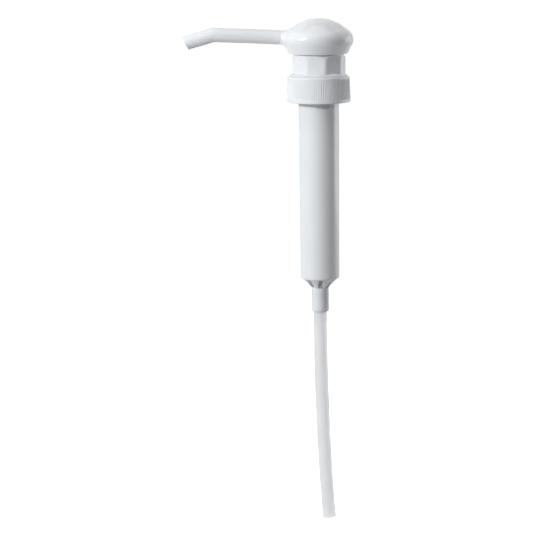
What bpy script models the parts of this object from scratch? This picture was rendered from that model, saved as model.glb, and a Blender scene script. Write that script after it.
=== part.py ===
"""A pump dispenser for a one-gallon condiment jug, built as separate pieces.

The frame is +Z up, with its origin on the pump's axis, on the underside of the neck gasket,
where the rim of the jug meets it. The spout points along -X. The plunger is shown screwed
down, as the pump is stored, so its stroke runs upwards from here.

Lengths below are in millimetres, angles in degrees, and R is a radius. A mesh is made in
metres, so its points are multiplied by MM where it is made. Radii are chained outwards from
the bores by named walls and clearances, so the pieces still fit when one size is changed.
"""

import math

import bmesh
import bpy
from mathutils import Matrix, Vector

MM = 0.001
DIAGONAL = math.sqrt(0.5)  # sine and cosine of the ball seats' 45 degrees

# Gaps between neighbours, and how shapes are cut and joined
GAP = 0.3  # pieces that touch, press or screw together
SEAL_GAP = 0.15  # a soft lip and the wall that it wipes
CUT = 1.0  # how far a cutter runs past what it cuts
SINK = 0.4  # how deep the foot of a joined shape lies in its wall

# Facets round a full circle, and steps along a rounding
FACETS = 36
FINE_FACETS = 24
BALL_FACETS = 12
ROUND_STEPS = 3

# Cylinder
BORE_R = 12.0
CYLINDER_WALL = 1.45  # just under the flange
CYLINDER_FOOT_WALL = 1.2
CYLINDER_DEPTH = 129.5  # from the jug's rim to the underside of its floor
FLOOR_T = 2.3
FOOT_ROUND = 1.6
NECK_RISE = 5.7  # threaded neck above the closure
NECK_WALL = 2.2
VENT_R = 1.2
VENT_DEPTH = 5.0
VENT_FACETS = 12

# Thread between the cylinder's neck and the collar
COLLAR_THREAD_DEPTH = 0.7
COLLAR_PITCH = 3.0
THREAD_ROOT_W = 1.2
THREAD_CREST_W = 0.6
THREAD_MARGIN = 0.4
RUN_IN_FACETS = 5  # facets over which a ridge's ends fade out

# Neck gasket and the cylinder's flange
GASKET_T = 1.2
GASKET_PLAY = 0.55  # gasket round the cylinder
FLANGE_T = 1.7
FLANGE_HOLD = 2.2  # how far the flange reaches under the closure's top

# Closure cap, whose thread takes a 38-400 jug neck
CAP_SEAL_PLAY = 0.5  # flange and gasket inside the thread's crest
CAP_THREAD_DEPTH = 1.1
CAP_PITCH = 4.23
CAP_HEIGHT = 17.2
CAP_TOP_T = 1.5
CAP_WALL = 1.5  # at the top
CAP_FOOT_WALL = 2.0
CAP_SHOULDER = 1.2
CAP_RIBS = 112
CAP_RIB_DEPTH = 0.35
CAP_RIB_TOP_MARGIN = 0.8  # smooth band between the shoulder and the ribs
CAP_LIP = 1.6  # smooth band under the ribs
CAP_LEAD_IN = 0.5

# Dip tube
TUBE_R = 4.6
TUBE_WALL = 1.2
TUBE_END = 293.1  # depth of its end under the jug's rim
TUBE_BOW_R = 1960.0  # radius of its slight bow below the socket
TUBE_STEPS = 10
TUBE_SIDES = 16

# Webs and socket under the cylinder's floor
WEBS = 8
WEB_TURN = 25.0
WEB_SLOT_W = 3.1  # gap between two webs
WEB_SETBACK = 1.4  # from the cylinder's foot
SOCKET_WALL = 1.05
SOCKET_LENGTH = 22.3
SOCKET_CHAMFER = 1.1
INLET_LENGTH = 4.2
INLET_SHOULDER = 1.7  # the step that stops the dip tube

# Inlet valve
BALL_LIFT = 3.0  # how far each valve ball rises off its seat
SEAT_LAP = 0.15  # a ball's touching circle over the narrow end of its seat
INLET_SEAT_W = 2.4
CAGE_PLAY = 0.45  # cage round the ball
CAGE_WALL = 1.5
CAGE_RING_T = 1.6
CAGE_CROWN_T = 1.2
CAGE_CROWN_HOLD = 2.0  # how far the crown reaches over the ball
CAGE_WINDOW_W = 4.6

# Locking collar
COLLAR_SIDES = 9
COLLAR_WALL = 2.85  # from its bore to its corners
COLLAR_TURN = 3.2
COLLAR_HEIGHT = 13.6
COLLAR_CORNER = 0.7  # width of the rounding on each facet
COLLAR_TOP_ROUND = 3.4
COLLAR_SKIN = 0.1  # the turned rounding over the corners
COLLAR_FOOT_REACH = 1.05  # the flared foot beyond the corners
COLLAR_FOOT_T = 0.7
COLLAR_FLARE = 2.2

# Stem
STEM_R = 6.25
STEM_WALL = 1.85
STEM_LEDGE = 2.1  # the stem's top under the spout's bore

# Lock thread between the knob's core and the collar
LOCK_WALL = 2.75
LOCK_THREAD_DEPTH = 1.0
LOCK_PITCH = 3.0

# Gland bushing and its seals
GLAND_FLANGE_T = 0.9
GLAND_DEPTH = 8.0
WIPER_ROOM = 2.65  # width of the wiper's pocket round the stem's hole
WIPER_POCKET_DEPTH = 3.0
WIPER_LIP_T = 0.5
WIPER_LIP_RISE = 0.4
WIPER_LIP_ROOT = 1.2
O_RING_WIRE_R = 0.8
O_RING_LIFT = 2.8  # its centre above the bushing's foot

# Knob
KNOB_R = 23.05
KNOB_HEIGHT = 23.5
KNOB_WALL = 2.2
CROWN_R = 27.5
CROWN_SLOPE = 35.3
BELLY_R = 7.8
UNDER_SLOPE = 27.0
RIM_ROUND = 1.5

# Spout
SPOUT_R = 4.75
SPOUT_WALL = 1.25
SPOUT_RISE = 2.7
SPOUT_ABOVE_BELLY = 0.6
SPOUT_BEND_X = 68.3
SPOUT_BEND_R = 9.0
SPOUT_TIP_REACH = 18.8  # from the bend to the tip
SPOUT_TIP_DROP = 15.8
SPOUT_MOUTH_DROP = 28.7  # how far the mouth faces below level
SPOUT_FLARE = 2.4
SPOUT_SIDES = 20

# Core inside the knob
CORE_WALL = 1.45
CORE_CHAMFER = 1.0
CORE_DOME = 1.0  # rise of the chamber's roof
CORE_FLANGE_T = 1.6
CORE_FLANGE_RISE = 0.8
PORT_WALL = 1.25
PORT_PLAY = 0.4  # the port's end under the knob's dome

# Plunger travel, piston and spring
STROKE = 65.0
STOP_GAP = 0.3  # piston to gland at the top of the stroke
PISTON_LENGTH = 15.0
PISTON_PLAY = 0.4
PISTON_HEAD_T = 3.2
PISTON_FOOT_T = 5.0
PISTON_FOOT_PLAY = 1.4
CUP_DEPTH = 2.6  # from the bore to the bottom of the cup's groove
CUP_LIP_T = 0.6
DISCHARGE_PLAY = 0.9  # stem's bore round the ball
DISCHARGE_LAND = 1.4  # piston under the ball's seat
BALL_STOP_T = 2.0
BALL_STOP_WALL = 0.6
BALL_STOP_BAR = 1.2
SPRING_WIRE_R = 0.8
SPRING_PLAY = 1.6  # spring inside the bore
SPRING_SEAT_T = 1.5
SPRING_SEAT_PLAY = 1.0
SPRING_SEAT_LEDGE = 3.1  # the seat's reach inside the coil
SPRING_TURNS = 9
SPRING_FACETS = 12
SPRING_SIDES = 5

# Radii of the cylinder, and of what is round it
CYLINDER_R = BORE_R + CYLINDER_WALL
CYLINDER_FOOT_R = BORE_R + CYLINDER_FOOT_WALL
COLLAR_NECK_R = BORE_R + NECK_WALL
COLLAR_CREST_R = COLLAR_NECK_R + COLLAR_THREAD_DEPTH
COLLAR_BORE_R = COLLAR_CREST_R + GAP
COLLAR_R = COLLAR_BORE_R + COLLAR_WALL
COLLAR_FOOT_R = COLLAR_R + COLLAR_FOOT_REACH
CAP_HOLE_R = COLLAR_CREST_R + GAP
NECK_SEAL_R = CAP_HOLE_R + FLANGE_HOLD
CAP_CREST_R = NECK_SEAL_R + CAP_SEAL_PLAY
CAP_ROOT_R = CAP_CREST_R + CAP_THREAD_DEPTH
CAP_TOP_R = CAP_ROOT_R + CAP_WALL
CAP_FOOT_R = CAP_ROOT_R + CAP_FOOT_WALL
GASKET_BORE_R = CYLINDER_R + GASKET_PLAY

# Radii in and round the dip tube's socket, and of the inlet valve over it
TUBE_SOCKET_R = TUBE_R + GAP
SOCKET_R = TUBE_SOCKET_R + SOCKET_WALL
WEB_REACH = CYLINDER_FOOT_R - WEB_SETBACK
TUBE_BORE_R = TUBE_R - TUBE_WALL
INLET_R = TUBE_SOCKET_R - INLET_SHOULDER
INLET_SEAT_R = INLET_R + INLET_SEAT_W
INLET_BALL_R = (INLET_R + SEAT_LAP) / DIAGONAL
CAGE_BORE_R = INLET_BALL_R + CAGE_PLAY
CAGE_R = CAGE_BORE_R + CAGE_WALL
CAGE_CROWN_BORE_R = INLET_BALL_R - CAGE_CROWN_HOLD

# Radii round the stem and inside it
STEM_BORE_R = STEM_R - STEM_WALL
STEM_SOCKET_R = STEM_R + GAP
CORE_R = STEM_SOCKET_R + CORE_WALL
LOCK_R = STEM_SOCKET_R + LOCK_WALL
LOCK_CREST_R = LOCK_R + LOCK_THREAD_DEPTH
LOCK_BORE_R = LOCK_CREST_R + GAP + LOCK_THREAD_DEPTH
WIPER_POCKET_R = STEM_SOCKET_R + WIPER_ROOM
DISCHARGE_BALL_R = STEM_BORE_R - DISCHARGE_PLAY
DISCHARGE_SEAT_R = DISCHARGE_BALL_R * DIAGONAL - SEAT_LAP

# Radii of what slides or stands in the cylinder's bore
O_RING_R = BORE_R - SEAL_GAP - O_RING_WIRE_R
PISTON_R = BORE_R - PISTON_PLAY
PISTON_FOOT_R = BORE_R - PISTON_FOOT_PLAY
PISTON_GROOVE_R = BORE_R - CUP_DEPTH
SPRING_R = BORE_R - SPRING_PLAY - SPRING_WIRE_R  # middle of the coil
SPRING_SEAT_R = BORE_R - SPRING_SEAT_PLAY
SPRING_SEAT_BORE_R = SPRING_R - SPRING_WIRE_R - SPRING_SEAT_LEDGE

# Radii of the spout and of its port
SPOUT_BORE_R = SPOUT_R - SPOUT_WALL
SPOUT_HOLE_R = SPOUT_R + GAP
PORT_R = SPOUT_HOLE_R + PORT_WALL

# Levels, from the jug's rim at zero
FLANGE_Z = GASKET_T + GAP
CAP_INSIDE_Z = FLANGE_Z + FLANGE_T + GAP
CAP_TOP_Z = CAP_INSIDE_Z + CAP_TOP_T
CAP_FOOT_Z = CAP_TOP_Z - CAP_HEIGHT
COLLAR_Z = CAP_TOP_Z + GAP
COLLAR_TOP_Z = COLLAR_Z + COLLAR_HEIGHT
NECK_TOP_Z = COLLAR_Z + NECK_RISE
GLAND_Z = NECK_TOP_Z + GAP  # underside of the bushing's flange
O_RING_Z = GLAND_Z - GLAND_DEPTH + O_RING_LIFT
SHELF_Z = GLAND_Z + GLAND_FLANGE_T + GAP  # the collar's shelf over it
RIM_Z = COLLAR_TOP_Z + GAP  # the knob's rim
APEX_Z = RIM_Z + KNOB_HEIGHT
FLOOR_Z = -CYLINDER_DEPTH + FLOOR_T  # inside floor of the cylinder
INLET_SEAT_Z = FLOOR_Z - INLET_SEAT_W  # narrow end of the ball's seat
SOCKET_TOP_Z = -CYLINDER_DEPTH - INLET_LENGTH
SOCKET_Z = -CYLINDER_DEPTH - SOCKET_LENGTH
TUBE_TOP_Z = SOCKET_TOP_Z - GAP
CAGE_Z = FLOOR_Z + GAP

# The knob's belly lies where the straight slope from its crown meets it
SLOPE = math.radians(CROWN_SLOPE)
UNDER = math.radians(UNDER_SLOPE)
CROWN_Z = APEX_Z - CROWN_R
BELLY_X = KNOB_R - BELLY_R
SLOPE_RUN = BELLY_X + (BELLY_R - CROWN_R) * math.sin(SLOPE)
BELLY_Z = (
    CROWN_Z + (CROWN_R - BELLY_R) * math.cos(SLOPE) - SLOPE_RUN * math.tan(SLOPE)
)

# Spout axis
RISE = math.radians(SPOUT_RISE)
DROP = math.radians(SPOUT_TIP_DROP)
SPOUT_Z = BELLY_Z + SPOUT_ABOVE_BELLY
SPOUT_ROOT = Vector((0, 0, SPOUT_Z))
SPOUT_DIRECTION = Vector((-math.cos(RISE), 0, math.sin(RISE)))
SPOUT_UP = Vector((SPOUT_DIRECTION.z, 0, -SPOUT_DIRECTION.x))
PORT_SEAT = CORE_R + GAP  # how far out the port's bore widens into the spout's socket

# Plunger levels when it is screwed down
CORE_FOOT_Z = SHELF_Z + GAP
STEM_TOP_Z = SPOUT_Z - SPOUT_BORE_R - STEM_LEDGE
PISTON_TOP_Z = GLAND_Z - GLAND_DEPTH - STOP_GAP - STROKE
PISTON_FOOT_Z = PISTON_TOP_Z - PISTON_LENGTH
DISCHARGE_SEAT_Z = PISTON_FOOT_Z + DISCHARGE_LAND  # narrow end of the ball's seat
PISTON_WEB_Z = DISCHARGE_SEAT_Z + STEM_BORE_R - DISCHARGE_SEAT_R
STEM_FOOT_Z = PISTON_WEB_Z + GAP
SPRING_SEAT_Z = PISTON_FOOT_Z - GAP - SPRING_SEAT_T


def arc(centre, radius, start, end, steps):
    """Points on a circle in the (radius, height) plane, from one angle to another."""
    turns = [start + (end - start) * step / steps for step in range(steps + 1)]
    return [
        (
            centre[0] + radius * math.cos(math.radians(turn)),
            centre[1] + radius * math.sin(math.radians(turn)),
        )
        for turn in turns
    ]


def finish(name, colour, roughness):
    """A Principled material in the piece's own plastic."""
    material = bpy.data.materials.new(name)
    material.use_nodes = True
    shader = material.node_tree.nodes["Principled BSDF"]
    shader.inputs["Base Color"].default_value = (*colour, 1)
    shader.inputs["Roughness"].default_value = roughness
    return material


def finishes():
    """The materials, by name."""
    steel = finish("spring_steel", (0.55, 0.55, 0.56), 0.3)
    steel.node_tree.nodes["Principled BSDF"].inputs["Metallic"].default_value = 1.0
    return {
        "gloss_white": finish("gloss_white", (0.86, 0.87, 0.89), 0.2),
        "tube_natural": finish("tube_natural", (0.72, 0.74, 0.77), 0.4),
        "inner_white": finish("inner_white", (0.83, 0.84, 0.85), 0.35),
        "seal_grey": finish("seal_grey", (0.35, 0.36, 0.37), 0.6),
        "gasket_foam": finish("gasket_foam", (0.78, 0.78, 0.76), 0.8),
        "ball_white": finish("ball_white", (0.9, 0.9, 0.9), 0.15),
        "spring_steel": steel,
    }


def placed(name, form, material=None):
    """Turns a bmesh whose points are in millimetres into an object, faces pointing out."""
    bmesh.ops.scale(form, vec=(MM, MM, MM), verts=form.verts)
    bmesh.ops.recalc_face_normals(form, faces=form.faces)
    mesh = bpy.data.meshes.new(name)
    form.to_mesh(mesh)
    form.free()
    mesh.shade_smooth()
    mesh.set_sharp_from_angle(angle=math.radians(30))
    if material:
        mesh.materials.append(material)
    piece = bpy.data.objects.new(name, mesh)
    bpy.context.scene.collection.objects.link(piece)
    return piece


def combine(piece, tool, operation):
    """Cuts a piece with a tool, or joins the tool to it, and hides the tool."""
    step = piece.modifiers.new(tool.name, "BOOLEAN")
    step.operation = operation
    step.solver = "EXACT"
    step.object = tool
    tool.hide_render = True
    tool.display_type = "WIRE"


def turned_form(outline, facets):
    """A bmesh of an outline of (radius, height) points spun about the axis.

    An outline that starts and ends on the axis is left open there. Any other is closed.
    """
    form = bmesh.new()
    corners = [form.verts.new((radius, 0, height)) for radius, height in outline]
    runs = list(zip(corners, corners[1:]))
    if outline[0][0] > 0:
        runs.append((corners[-1], corners[0]))
    edges = [form.edges.new(run) for run in runs]
    bmesh.ops.spin(
        form,
        geom=corners + edges,
        cent=(0, 0, 0),
        axis=(0, 0, 1),
        angle=math.tau,
        steps=facets,
        use_merge=True,
    )
    bmesh.ops.remove_doubles(form, verts=form.verts, dist=1e-4)
    return form


def turned(name, outline, material=None, facets=FACETS):
    """A turned piece on the pump's axis."""
    return placed(name, turned_form(outline, facets), material)


def turned_along_spout(name, outline, material=None, facets=SPOUT_SIDES):
    """A turned piece on the spout's axis, its heights counted out from the pump's axis."""
    form = turned_form(outline, facets)
    turn = Vector((0, 0, 1)).rotation_difference(SPOUT_DIRECTION)
    place = Matrix.Translation(SPOUT_ROOT) @ turn.to_matrix().to_4x4()
    bmesh.ops.transform(form, matrix=place, verts=form.verts)
    return placed(name, form, material)


def bridged(form, rings, closed_ends):
    """Joins rings of equally many points with faces, and fills the end rings."""
    loops = [[form.verts.new(point) for point in ring] for ring in rings]
    for near, far in zip(loops, loops[1:]):
        count = len(near)
        for index in range(count):
            after = (index + 1) % count
            form.faces.new((near[index], near[after], far[after], far[index]))
    if closed_ends:
        form.faces.new(loops[0])
        form.faces.new(loops[-1])
    return loops


def thread_ridge(name, wall_r, crest_r, bottom_z, top_z, pitch):
    """A thread's ridge between two heights, one trapezoid section carried up a helix.

    Its foot is sunk in the wall, and its crest fades into the wall at both ends.
    """
    outward = 1 if crest_r > wall_r else -1
    foot_r = wall_r - outward * SINK
    faded_r = wall_r - outward * SINK / 2
    room = top_z - bottom_z - THREAD_ROOT_W - 2 * THREAD_MARGIN
    steps = int(room / pitch * FACETS)
    start_z = bottom_z + THREAD_MARGIN + THREAD_ROOT_W / 2
    rings = []
    for step in range(steps + 1):
        angle = math.tau * step / FACETS
        height = start_z + pitch * step / FACETS
        share = min(1, step / RUN_IN_FACETS, (steps - step) / RUN_IN_FACETS)
        ridge_r = faded_r + (crest_r - faded_r) * share
        section = [
            (foot_r, height - THREAD_ROOT_W / 2),
            (ridge_r, height - THREAD_CREST_W / 2),
            (ridge_r, height + THREAD_CREST_W / 2),
            (foot_r, height + THREAD_ROOT_W / 2),
        ]
        rings.append([(r * math.cos(angle), r * math.sin(angle), z) for r, z in section])
    form = bmesh.new()
    bridged(form, rings, closed_ends=True)
    return placed(name, form)


def pipe(name, stations, outer_r, inner_r, sides, material):
    """A pipe through stations of (centre, direction, face normal) in the XZ plane.

    Each station's two circles lie on the plane of its face normal, slid along its direction.
    """
    form = bmesh.new()
    skins = []
    for radius in (outer_r, inner_r):
        rings = []
        for centre, direction, facing in stations:
            up = Vector((direction.z, 0, -direction.x))
            ring = []
            for side in range(sides):
                angle = math.tau * side / sides
                spoke = Vector((0, radius * math.cos(angle), 0)) + up * radius * math.sin(angle)
                slide = -spoke.dot(facing) / direction.dot(facing)
                ring.append(centre + spoke + direction * slide)
            rings.append(ring)
        skins.append(bridged(form, rings, closed_ends=False))
    outside, inside = skins
    for end in (0, -1):
        for side in range(sides):
            after = (side + 1) % sides
            form.faces.new(
                (outside[end][side], outside[end][after], inside[end][after], inside[end][side])
            )
    return placed(name, form, material)


def ball(name, radius, height, material):
    """A valve ball on the pump's axis."""
    form = bmesh.new()
    bmesh.ops.create_uvsphere(
        form, u_segments=BALL_FACETS, v_segments=BALL_FACETS // 2, radius=radius
    )
    bmesh.ops.translate(form, vec=(0, 0, height), verts=form.verts)
    return placed(name, form, material)


def knob_outline(inset, steps):
    """The knob's profile from its crown to its lower slope, moved inwards by a distance."""
    crown = arc((0, CROWN_Z), CROWN_R - inset, 90, 90 - CROWN_SLOPE, steps)
    belly = arc((BELLY_X, BELLY_Z), BELLY_R - inset, 90 - CROWN_SLOPE, -UNDER_SLOPE, steps)
    crown[0] = (0, crown[0][1])
    return crown + belly


def under_radius(height, inset):
    """Radius of the knob's lower slope at a height, moved inwards by a distance."""
    end_r = BELLY_X + (BELLY_R - inset) * math.cos(UNDER)
    end_z = BELLY_Z - (BELLY_R - inset) * math.sin(UNDER)
    return end_r - (end_z - height) * math.tan(UNDER)


def over_knob(point):
    """Distance of a point from the knob's outside, for points above its rim."""
    radius = math.hypot(point.x, point.y)
    if math.atan2(radius, point.z - CROWN_Z) < SLOPE:
        return math.hypot(radius, point.z - CROWN_Z) - CROWN_R
    across = radius - BELLY_X
    above = point.z - BELLY_Z
    lean = math.atan2(above, across)
    if lean > math.pi / 2 - SLOPE:
        return across * math.sin(SLOPE) + above * math.cos(SLOPE) - BELLY_R
    if lean < -UNDER:
        return across * math.cos(UNDER) - above * math.sin(UNDER) - BELLY_R
    return math.hypot(across, above) - BELLY_R


def bed_reach(spoke, gap):
    """How far out along the spout a line beside its axis is a gap clear of the knob's outside.

    A gap below zero is a depth under that outside.
    """
    inner, outer = 0, KNOB_R + 2 * SPOUT_FLARE
    for _ in range(40):
        middle = (inner + outer) / 2
        if over_knob(SPOUT_ROOT + spoke + SPOUT_DIRECTION * middle) < gap:
            inner = middle
        else:
            outer = middle
    return outer


def port_reach():
    """How far out the core's port ends, its top edge just under the knob's dome."""
    return bed_reach(SPOUT_UP * PORT_R, -KNOB_WALL - PORT_PLAY)


def make_knob(material):
    """The hollow domed knob, with the side hole that the spout passes through."""
    rim_r = under_radius(RIM_Z + RIM_ROUND, 0)
    outside = knob_outline(0, 2 * ROUND_STEPS)
    rim = [(rim_r, RIM_Z + RIM_ROUND)]
    rim += arc((rim_r - RIM_ROUND, RIM_Z + RIM_ROUND), RIM_ROUND, -30, -90, 2)
    inside = [(under_radius(RIM_Z, KNOB_WALL), RIM_Z)] + knob_outline(KNOB_WALL, ROUND_STEPS)[::-1]
    knob = turned("knob", outside + rim + inside, material)
    start, end = port_reach(), KNOB_R + CUT
    hole = [(0, start), (SPOUT_HOLE_R, start), (SPOUT_HOLE_R, end), (0, end)]
    combine(knob, turned_along_spout("knob_hole", hole), "DIFFERENCE")
    return knob


def make_head_core(material):
    """The core under the knob: lock thread, stem socket, chamber and spout port."""
    flange_z = RIM_Z + CORE_FLANGE_RISE
    flange_r = under_radius(flange_z, KNOB_WALL) - GAP
    top_z = SPOUT_Z + PORT_R
    outline = [
        (0, top_z),
        (CORE_R - CORE_CHAMFER, top_z),
        (CORE_R, top_z - CORE_CHAMFER),
        (CORE_R, flange_z + CORE_FLANGE_T),
        (flange_r, flange_z + CORE_FLANGE_T),
        (flange_r, flange_z),
        (LOCK_R, flange_z),
        (LOCK_R, CORE_FOOT_Z),
        (STEM_SOCKET_R, CORE_FOOT_Z),
        (STEM_SOCKET_R, STEM_TOP_Z + GAP),
        (STEM_BORE_R, STEM_TOP_Z + GAP),
        (STEM_BORE_R, SPOUT_Z + SPOUT_BORE_R),
        (0, SPOUT_Z + SPOUT_BORE_R + CORE_DOME),
    ]
    core = turned("head_core", outline, material)
    root, reach = CORE_R - SINK, port_reach()
    port = [(0, root), (PORT_R, root), (PORT_R, reach), (0, reach)]
    combine(core, turned_along_spout("core_port", port), "UNION")
    bore = [
        (0, 0),
        (SPOUT_BORE_R, 0),
        (SPOUT_BORE_R, PORT_SEAT),
        (SPOUT_HOLE_R, PORT_SEAT),
        (SPOUT_HOLE_R, reach + CUT),
        (0, reach + CUT),
    ]
    combine(core, turned_along_spout("core_bore", bore), "DIFFERENCE")
    thread = thread_ridge(
        "core_thread", LOCK_R, LOCK_CREST_R, CORE_FOOT_Z, COLLAR_TOP_Z, LOCK_PITCH
    )
    combine(core, thread, "UNION")
    return core


def spout_stations():
    """Stations down the spout: level run, short rounded bend, drop and slanted mouth."""
    start = SPOUT_ROOT + SPOUT_DIRECTION * (PORT_SEAT + GAP)
    bend = SPOUT_ROOT + SPOUT_DIRECTION * (SPOUT_BEND_X / math.cos(RISE))
    tip_direction = Vector((-math.cos(DROP), 0, -math.sin(DROP)))
    tip = bend + tip_direction * (SPOUT_TIP_REACH / math.cos(DROP))
    mouth = math.radians(SPOUT_MOUTH_DROP)
    stations = [(start, SPOUT_DIRECTION, SPOUT_DIRECTION)]
    back = SPOUT_BEND_R * math.tan((RISE + DROP) / 2)
    over = Vector((math.sin(RISE), 0, math.cos(RISE)))
    centre = bend - SPOUT_DIRECTION * back - over * SPOUT_BEND_R
    for step in range(ROUND_STEPS + 1):
        lean = RISE - (RISE + DROP) * step / ROUND_STEPS
        direction = Vector((-math.cos(lean), 0, math.sin(lean)))
        outwards = Vector((math.sin(lean), 0, math.cos(lean)))
        stations.append((centre + outwards * SPOUT_BEND_R, direction, direction))
    facing = Vector((-math.cos(mouth), 0, -math.sin(mouth)))
    stations.append((tip, tip_direction, facing))
    return stations


def spout_flare():
    """The spout's flared root: a fillet round the pipe whose underside beds on the knob."""
    core_r = (SPOUT_R + SPOUT_BORE_R) / 2
    rings = []
    for side in range(SPOUT_SIDES):
        angle = math.tau * side / SPOUT_SIDES
        spoke = Vector((0, math.cos(angle), 0)) + SPOUT_UP * math.sin(angle)
        profile = [(core_r, bed_reach(spoke * SPOUT_R, GAP))]
        for step in range(ROUND_STEPS):
            radius = SPOUT_R + SPOUT_FLARE * step / ROUND_STEPS
            profile.append((radius, bed_reach(spoke * radius, GAP)))
        for step in range(ROUND_STEPS + 1):
            lean = math.pi / 2 * step / ROUND_STEPS
            radius = SPOUT_R + SPOUT_FLARE * (1 - math.sin(lean))
            rise = SPOUT_FLARE * (1 - math.cos(lean))
            profile.append((radius, bed_reach(spoke * radius, GAP) + rise))
        profile.append((core_r, profile[-1][1]))
        rings.append(
            [SPOUT_ROOT + spoke * radius + SPOUT_DIRECTION * reach for radius, reach in profile]
        )
    rings.append(rings[0])
    form = bmesh.new()
    bridged(form, rings, closed_ends=False)
    bmesh.ops.remove_doubles(form, verts=form.verts, dist=1e-4)
    return placed("spout_flare", form)


def make_spout(material):
    """The spout: a bent pipe with a flared root that beds on the knob."""
    spout = pipe("spout_tube", spout_stations(), SPOUT_R, SPOUT_BORE_R, SPOUT_SIDES, material)
    combine(spout, spout_flare(), "UNION")
    return spout


def make_stem(material):
    """The hollow stem from the core's socket down into the piston."""
    outline = [
        (STEM_R, STEM_TOP_Z),
        (STEM_R, STEM_FOOT_Z),
        (STEM_BORE_R, STEM_FOOT_Z),
        (STEM_BORE_R, STEM_TOP_Z),
    ]
    return turned("stem", outline, material, FINE_FACETS)


def make_collar(material):
    """The nine-sided collar, screwed on the cylinder's neck, threaded inside for the core."""
    form = bmesh.new()
    bmesh.ops.create_cone(
        form,
        cap_ends=True,
        segments=COLLAR_SIDES,
        radius1=COLLAR_R,
        radius2=COLLAR_R,
        depth=COLLAR_HEIGHT,
        matrix=Matrix.Translation((0, 0, COLLAR_Z + COLLAR_HEIGHT / 2))
        @ Matrix.Rotation(math.radians(COLLAR_TURN), 4, "Z"),
    )
    upright = [edge for edge in form.edges if abs((edge.verts[0].co - edge.verts[1].co).z) > 1]
    bmesh.ops.bevel(
        form, geom=upright, offset=COLLAR_CORNER, segments=2, affect="EDGES", profile=0.5
    )
    collar = placed("locking_collar", form, material)

    round_r = COLLAR_R + COLLAR_SKIN
    top_centre = (round_r - COLLAR_TOP_ROUND, COLLAR_TOP_Z - COLLAR_TOP_ROUND)
    top = arc(top_centre, COLLAR_TOP_ROUND, 90, 0, ROUND_STEPS)
    envelope = [(0, COLLAR_TOP_Z)] + top + [(round_r, COLLAR_Z - CUT), (0, COLLAR_Z - CUT)]
    combine(collar, turned("collar_envelope", envelope), "INTERSECT")

    flare_z = COLLAR_Z + COLLAR_FOOT_T
    flare = arc((COLLAR_FOOT_R, flare_z + COLLAR_FLARE), COLLAR_FLARE, 180, 270, ROUND_STEPS)
    foot = [(0, flare_z + COLLAR_FLARE)] + flare + [(COLLAR_FOOT_R, COLLAR_Z), (0, COLLAR_Z)]
    combine(collar, turned("collar_foot", foot), "UNION")

    bore = [
        (0, COLLAR_Z - CUT),
        (COLLAR_BORE_R, COLLAR_Z - CUT),
        (COLLAR_BORE_R, SHELF_Z),
        (LOCK_BORE_R, SHELF_Z),
        (LOCK_BORE_R, COLLAR_TOP_Z + CUT),
        (0, COLLAR_TOP_Z + CUT),
    ]
    combine(collar, turned("collar_bore", bore), "DIFFERENCE")
    neck_thread = thread_ridge(
        "collar_neck_thread",
        COLLAR_BORE_R,
        COLLAR_NECK_R + GAP,
        COLLAR_Z + COLLAR_PITCH / 2,
        NECK_TOP_Z + COLLAR_PITCH / 2,
        COLLAR_PITCH,
    )
    combine(collar, neck_thread, "UNION")
    lock_thread = thread_ridge(
        "collar_lock_thread",
        LOCK_BORE_R,
        LOCK_CREST_R + GAP,
        CORE_FOOT_Z + LOCK_PITCH / 2,
        COLLAR_TOP_Z,
        LOCK_PITCH,
    )
    combine(collar, lock_thread, "UNION")
    return collar


def make_gland(material):
    """The bushing that closes the cylinder's top and guides the stem."""
    body_r = BORE_R - GAP
    groove = O_RING_WIRE_R + GAP
    groove_r = O_RING_R - O_RING_WIRE_R - GAP
    top_z = GLAND_Z + GLAND_FLANGE_T
    outline = [
        (WIPER_POCKET_R, top_z),
        (COLLAR_NECK_R - GAP, top_z),
        (COLLAR_NECK_R - GAP, GLAND_Z),
        (body_r, GLAND_Z),
        (body_r, O_RING_Z + groove),
        (groove_r, O_RING_Z + groove),
        (groove_r, O_RING_Z - groove),
        (body_r, O_RING_Z - groove),
        (body_r, GLAND_Z - GLAND_DEPTH),
        (STEM_SOCKET_R, GLAND_Z - GLAND_DEPTH),
        (STEM_SOCKET_R, top_z - WIPER_POCKET_DEPTH),
        (WIPER_POCKET_R, top_z - WIPER_POCKET_DEPTH),
    ]
    return turned("gland_bushing", outline, material)


def make_wiper(material):
    """The soft ring in the bushing's pocket, its lip against the stem."""
    bottom_z = GLAND_Z + GLAND_FLANGE_T - WIPER_POCKET_DEPTH + GAP
    top_z = GLAND_Z + GLAND_FLANGE_T
    lip_r = STEM_R + SEAL_GAP
    outline = [
        (STEM_SOCKET_R, bottom_z),
        (WIPER_POCKET_R - GAP, bottom_z),
        (WIPER_POCKET_R - GAP, top_z - WIPER_LIP_RISE),
        (lip_r + WIPER_LIP_ROOT, top_z - WIPER_LIP_RISE),
        (lip_r + WIPER_LIP_T, top_z),
        (lip_r, top_z),
    ]
    return turned("stem_wiper_seal", outline, material, FINE_FACETS)


def make_o_ring(material):
    """The round ring in the bushing's groove."""
    outline = arc((O_RING_R, O_RING_Z), O_RING_WIRE_R, 0, 360, 2 * ROUND_STEPS)[:-1]
    return turned("gland_o_ring", outline, material)


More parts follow.
